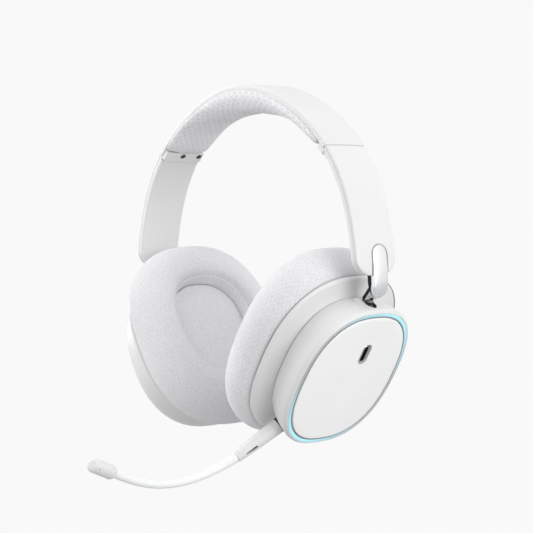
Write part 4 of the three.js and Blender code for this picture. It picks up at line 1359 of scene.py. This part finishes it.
def build_mic_base():
    """The rod at the cup, with its long slot, a black bar of painted shade on the slot's floor and the dark collar
    at its root.
    """
    away = mic_direction(MIC_ANGLE)
    rod = [(1.55, 2.6), (1.55, 3.4), (1.65, 3.6), (1.9, 3.7), (8, 3.52), (15.3, 3.3),
           (22, 3.02), (26.0, 2.85), (26.45, 2.75), (26.68, 2.5), (26.7, 1.6)]
    under = np.cross(away, [1, 0, 0])
    under *= -np.sign(under[2])
    face = unit(under * -0.29 + np.array([0.96, 0, 0]))
    side = np.cross(away, face)

    def slot_mesh(margin, depths):
        a, b = 15.9 - margin, 22.6 + margin
        wide, narrow = 0.75 + margin / 2, 0.35 + margin / 2
        outline = rounded([(a, -wide, 0.7), (b, -narrow, 0.3), (b, narrow, 0.3), (a, wide, 0.7)], 6)
        flat = MIC_ROOT + np.outer(outline[:, 0], away) + np.outer(outline[:, 1], side)
        return grid_mesh("slot", [flat + face * depth for depth in depths])

    bore = turned_mesh(MIC_ROOT, away, [(-12, 2.05), (3.5, 2.05)])
    base = carve(turned_mesh(MIC_ROOT, away, rod, 64), [bore, slot_mesh(0.0, (1.7, 5.0))], "mic_base")
    detail("mic_base", base, CUP["left"], WHITE)
    # Painted shade: a black bar in the slot makes it read dark.
    slot_shade_bar = slot_mesh(0.1, (1.5, 2.3))
    make_piece("mic_base_slot_shade_bar", slot_shade_bar, CUP["left"], BLACK, "mic_base", "black_plastic")
    collar = turned_mesh(MIC_ROOT, away, [(-1.5, 2.5), (-1.5, 3.73), (2.2, 3.73), (2.2, 2.5)], 48)
    make_piece("mic_base_collar", collar, CUP["left"], BLACK, "mic_base", "black_plastic")


def build_capsule():
    """The capsule's body with its sound hole, a black ring of painted shade in the gap at its root, and its
    rounded end cap.
    """
    end = neck_line()[-1]
    heading = mic_direction(NECK_START_ANGLE - NECK_SWEEP)
    # Painted shade: a black ring down in the gap round the neck.
    gap = turned_mesh(end, heading, [(-0.1, 1.9), (-0.1, 2.35), (2.5, 2.35), (2.5, 1.9)], 64)
    make_piece("mic_capsule_gap_shade", gap, CUP["left"], BLACK, "mic_capsule", "black_plastic")
    body = [(2.4, 2.0), (2.4, 2.5), (0.8, 2.52), (0.55, 2.62), (0.5, 2.8), (0.62, 3.02), (0.95, 3.2),
            (1.6, 3.3), (14.0, 3.3), (14.2, 3.25), (14.3, 3.1), (14.3, 2.5)]
    sideways = np.array([1.0, 0, 0])
    hole = turned_mesh(end + heading * 12.9 + sideways * 2.85, sideways, [(0, 0.85), (2, 0.85)], 24)
    body = carve(turned_mesh(end, heading, body, 64), [hole], "capsule")
    detail("mic_capsule", body, CUP["left"], WHITE)
    cap = [(14.36, 2.4), (14.36, 3.05), (14.44, 3.14), (14.7, 3.06), (15.0, 2.8), (15.25, 2.35),
           (15.42, 1.7), (15.5, 0.9)]
    detail("mic_end_cap", turned_mesh(end, heading, cap, 64), CUP["left"], WHITE)


# ---------- pieces kept from the frame ----------
def dress_kept_nodes():
    """Inner pieces keep their CAD shape and get their own finish; the dark, metal, board and cell ones also get
    softened edges.
    """
    finish = {"white_plastic": WHITE, "black_plastic": BLACK, "dark_steel": STEEL, "bright_metal": CHROME,
              "circuit_board": BOARD, "battery_cell": CELL, "knit_fabric": KNIT, "light_diffuser": LIGHT,
              "neck_rubber": SLEEVE}
    for name, obj in frame["nodes"].items():
        obj.data.materials.clear()
        obj.data.materials.append(finish[slot_of[name]])
        if slot_of[name] in ("black_plastic", "dark_steel", "bright_metal", "circuit_board", "battery_cell"):
            add_bevel(obj, 0.12)


# ---------- camera, light and floor ----------
CAMERA_TURN = 53.27
CAMERA_RISE = 1.794
CAMERA_DISTANCE = 0.864
LOOK_AT = Vector((0, 0, -0.0634))
LOOK_RIGHT = 0.00482
LOOK_DOWN = 0.0134


def build_camera():
    """The photograph's viewpoint: almost level, in front of the left cup and outside it."""
    turn, rise = math.radians(CAMERA_TURN), math.radians(CAMERA_RISE)
    back = Vector((math.sin(turn) * math.cos(rise), -math.cos(turn) * math.cos(rise), math.sin(rise)))
    right = Vector((math.cos(turn), math.sin(turn), 0))
    up = back.cross(right)
    camera = add_object("camera", bpy.data.cameras.new("camera"))
    camera.data.sensor_width = 36
    camera.data.lens = 118.1
    camera.data.clip_end = 30
    axes = Matrix((right, up, back)).transposed().to_4x4()
    place = LOOK_AT + back * CAMERA_DISTANCE + right * LOOK_RIGHT - up * LOOK_DOWN
    camera.matrix_world = Matrix.Translation(place) @ axes
    bpy.context.scene.camera = camera


def soft_light(name, place, size, power):
    """A rectangular lamp that faces the middle of the headset."""
    data = bpy.data.lights.new(name, "AREA")
    data.shape = "RECTANGLE"
    data.size, data.size_y = size
    data.energy = power
    aim = (LAMP_TARGET - Vector(place)).to_track_quat("-Z", "Y")
    add_object(name, data).matrix_world = Matrix.Translation(place) @ aim.to_matrix().to_4x4()


BACKGROUND = 0.947
FLOOR_Z = -0.26
LAMP_TARGET = Vector((0, 0, -0.1))
# Each lamp's name, its place in metres, its width and height, and its power.
LAMPS = [
    ("right", (1.3, 0.1, 0.1), (0.8, 0.5), 6.6),
    ("left", (-1.2, -0.5, 0.3), (0.8, 0.8), 7.6),
    ("left_high", (-0.7, -0.4, 1.0), (0.8, 0.8), 2.8),
    ("right_high", (0.9, 0.2, 0.9), (0.8, 0.8), 0.6),
    ("front_low", (-0.5, -1.1, -0.02), (0.6, 0.3), 1.0),
]


def build_world():
    """Even studio light, a little brighter from above, behind a plain pale background."""
    world = bpy.data.worlds.new("studio")
    bpy.context.scene.world = world
    tree = Tree(world)
    tree.clear()
    split = tree.add("SeparateXYZ")
    tree.join(tree.add("TexCoord").outputs["Generated"], split.inputs["Vector"])
    height = tree.add("MapRange", From_Min=-1)
    tree.join(split.outputs["Z"], height.inputs["Value"])
    light = tree.add("Background", Strength=0.90)
    shade = tree.ramp(height.outputs["Result"], [(0.25, grey(0.96)), (0.75, grey(1.0))])
    tree.join(shade, light.inputs["Color"])
    tree.by_camera_ray(light, tree.add("Background", Color=grey(BACKGROUND)), "OutputWorld")


def build_floor():
    """A pale floor, well below the headset. The camera sees it in the background's own tone."""
    bpy.ops.mesh.primitive_plane_add(size=30, location=(0, 0, FLOOR_Z))
    floor = bpy.context.object
    floor.name = "floor"
    material = bpy.data.materials.new("studio_floor")
    tree = Tree(material)
    tree.clear()
    paint = tree.add("BsdfDiffuse", Color=grey(0.45))
    tree.by_camera_ray(paint, tree.add("Emission", Color=grey(BACKGROUND)), "OutputMaterial")
    floor.data.materials.append(material)


build_camera()
build_world()
build_floor()
for lamp in LAMPS:
    soft_light(*lamp)
bpy.context.scene.view_settings.view_transform = "Standard"
dress_kept_nodes()
build_headband()
build_pad()
for cup_side in ("left", "right"):
    build_slider(cup_side)
    build_cup(cup_side)
build_controls()
build_socket()
build_mic()
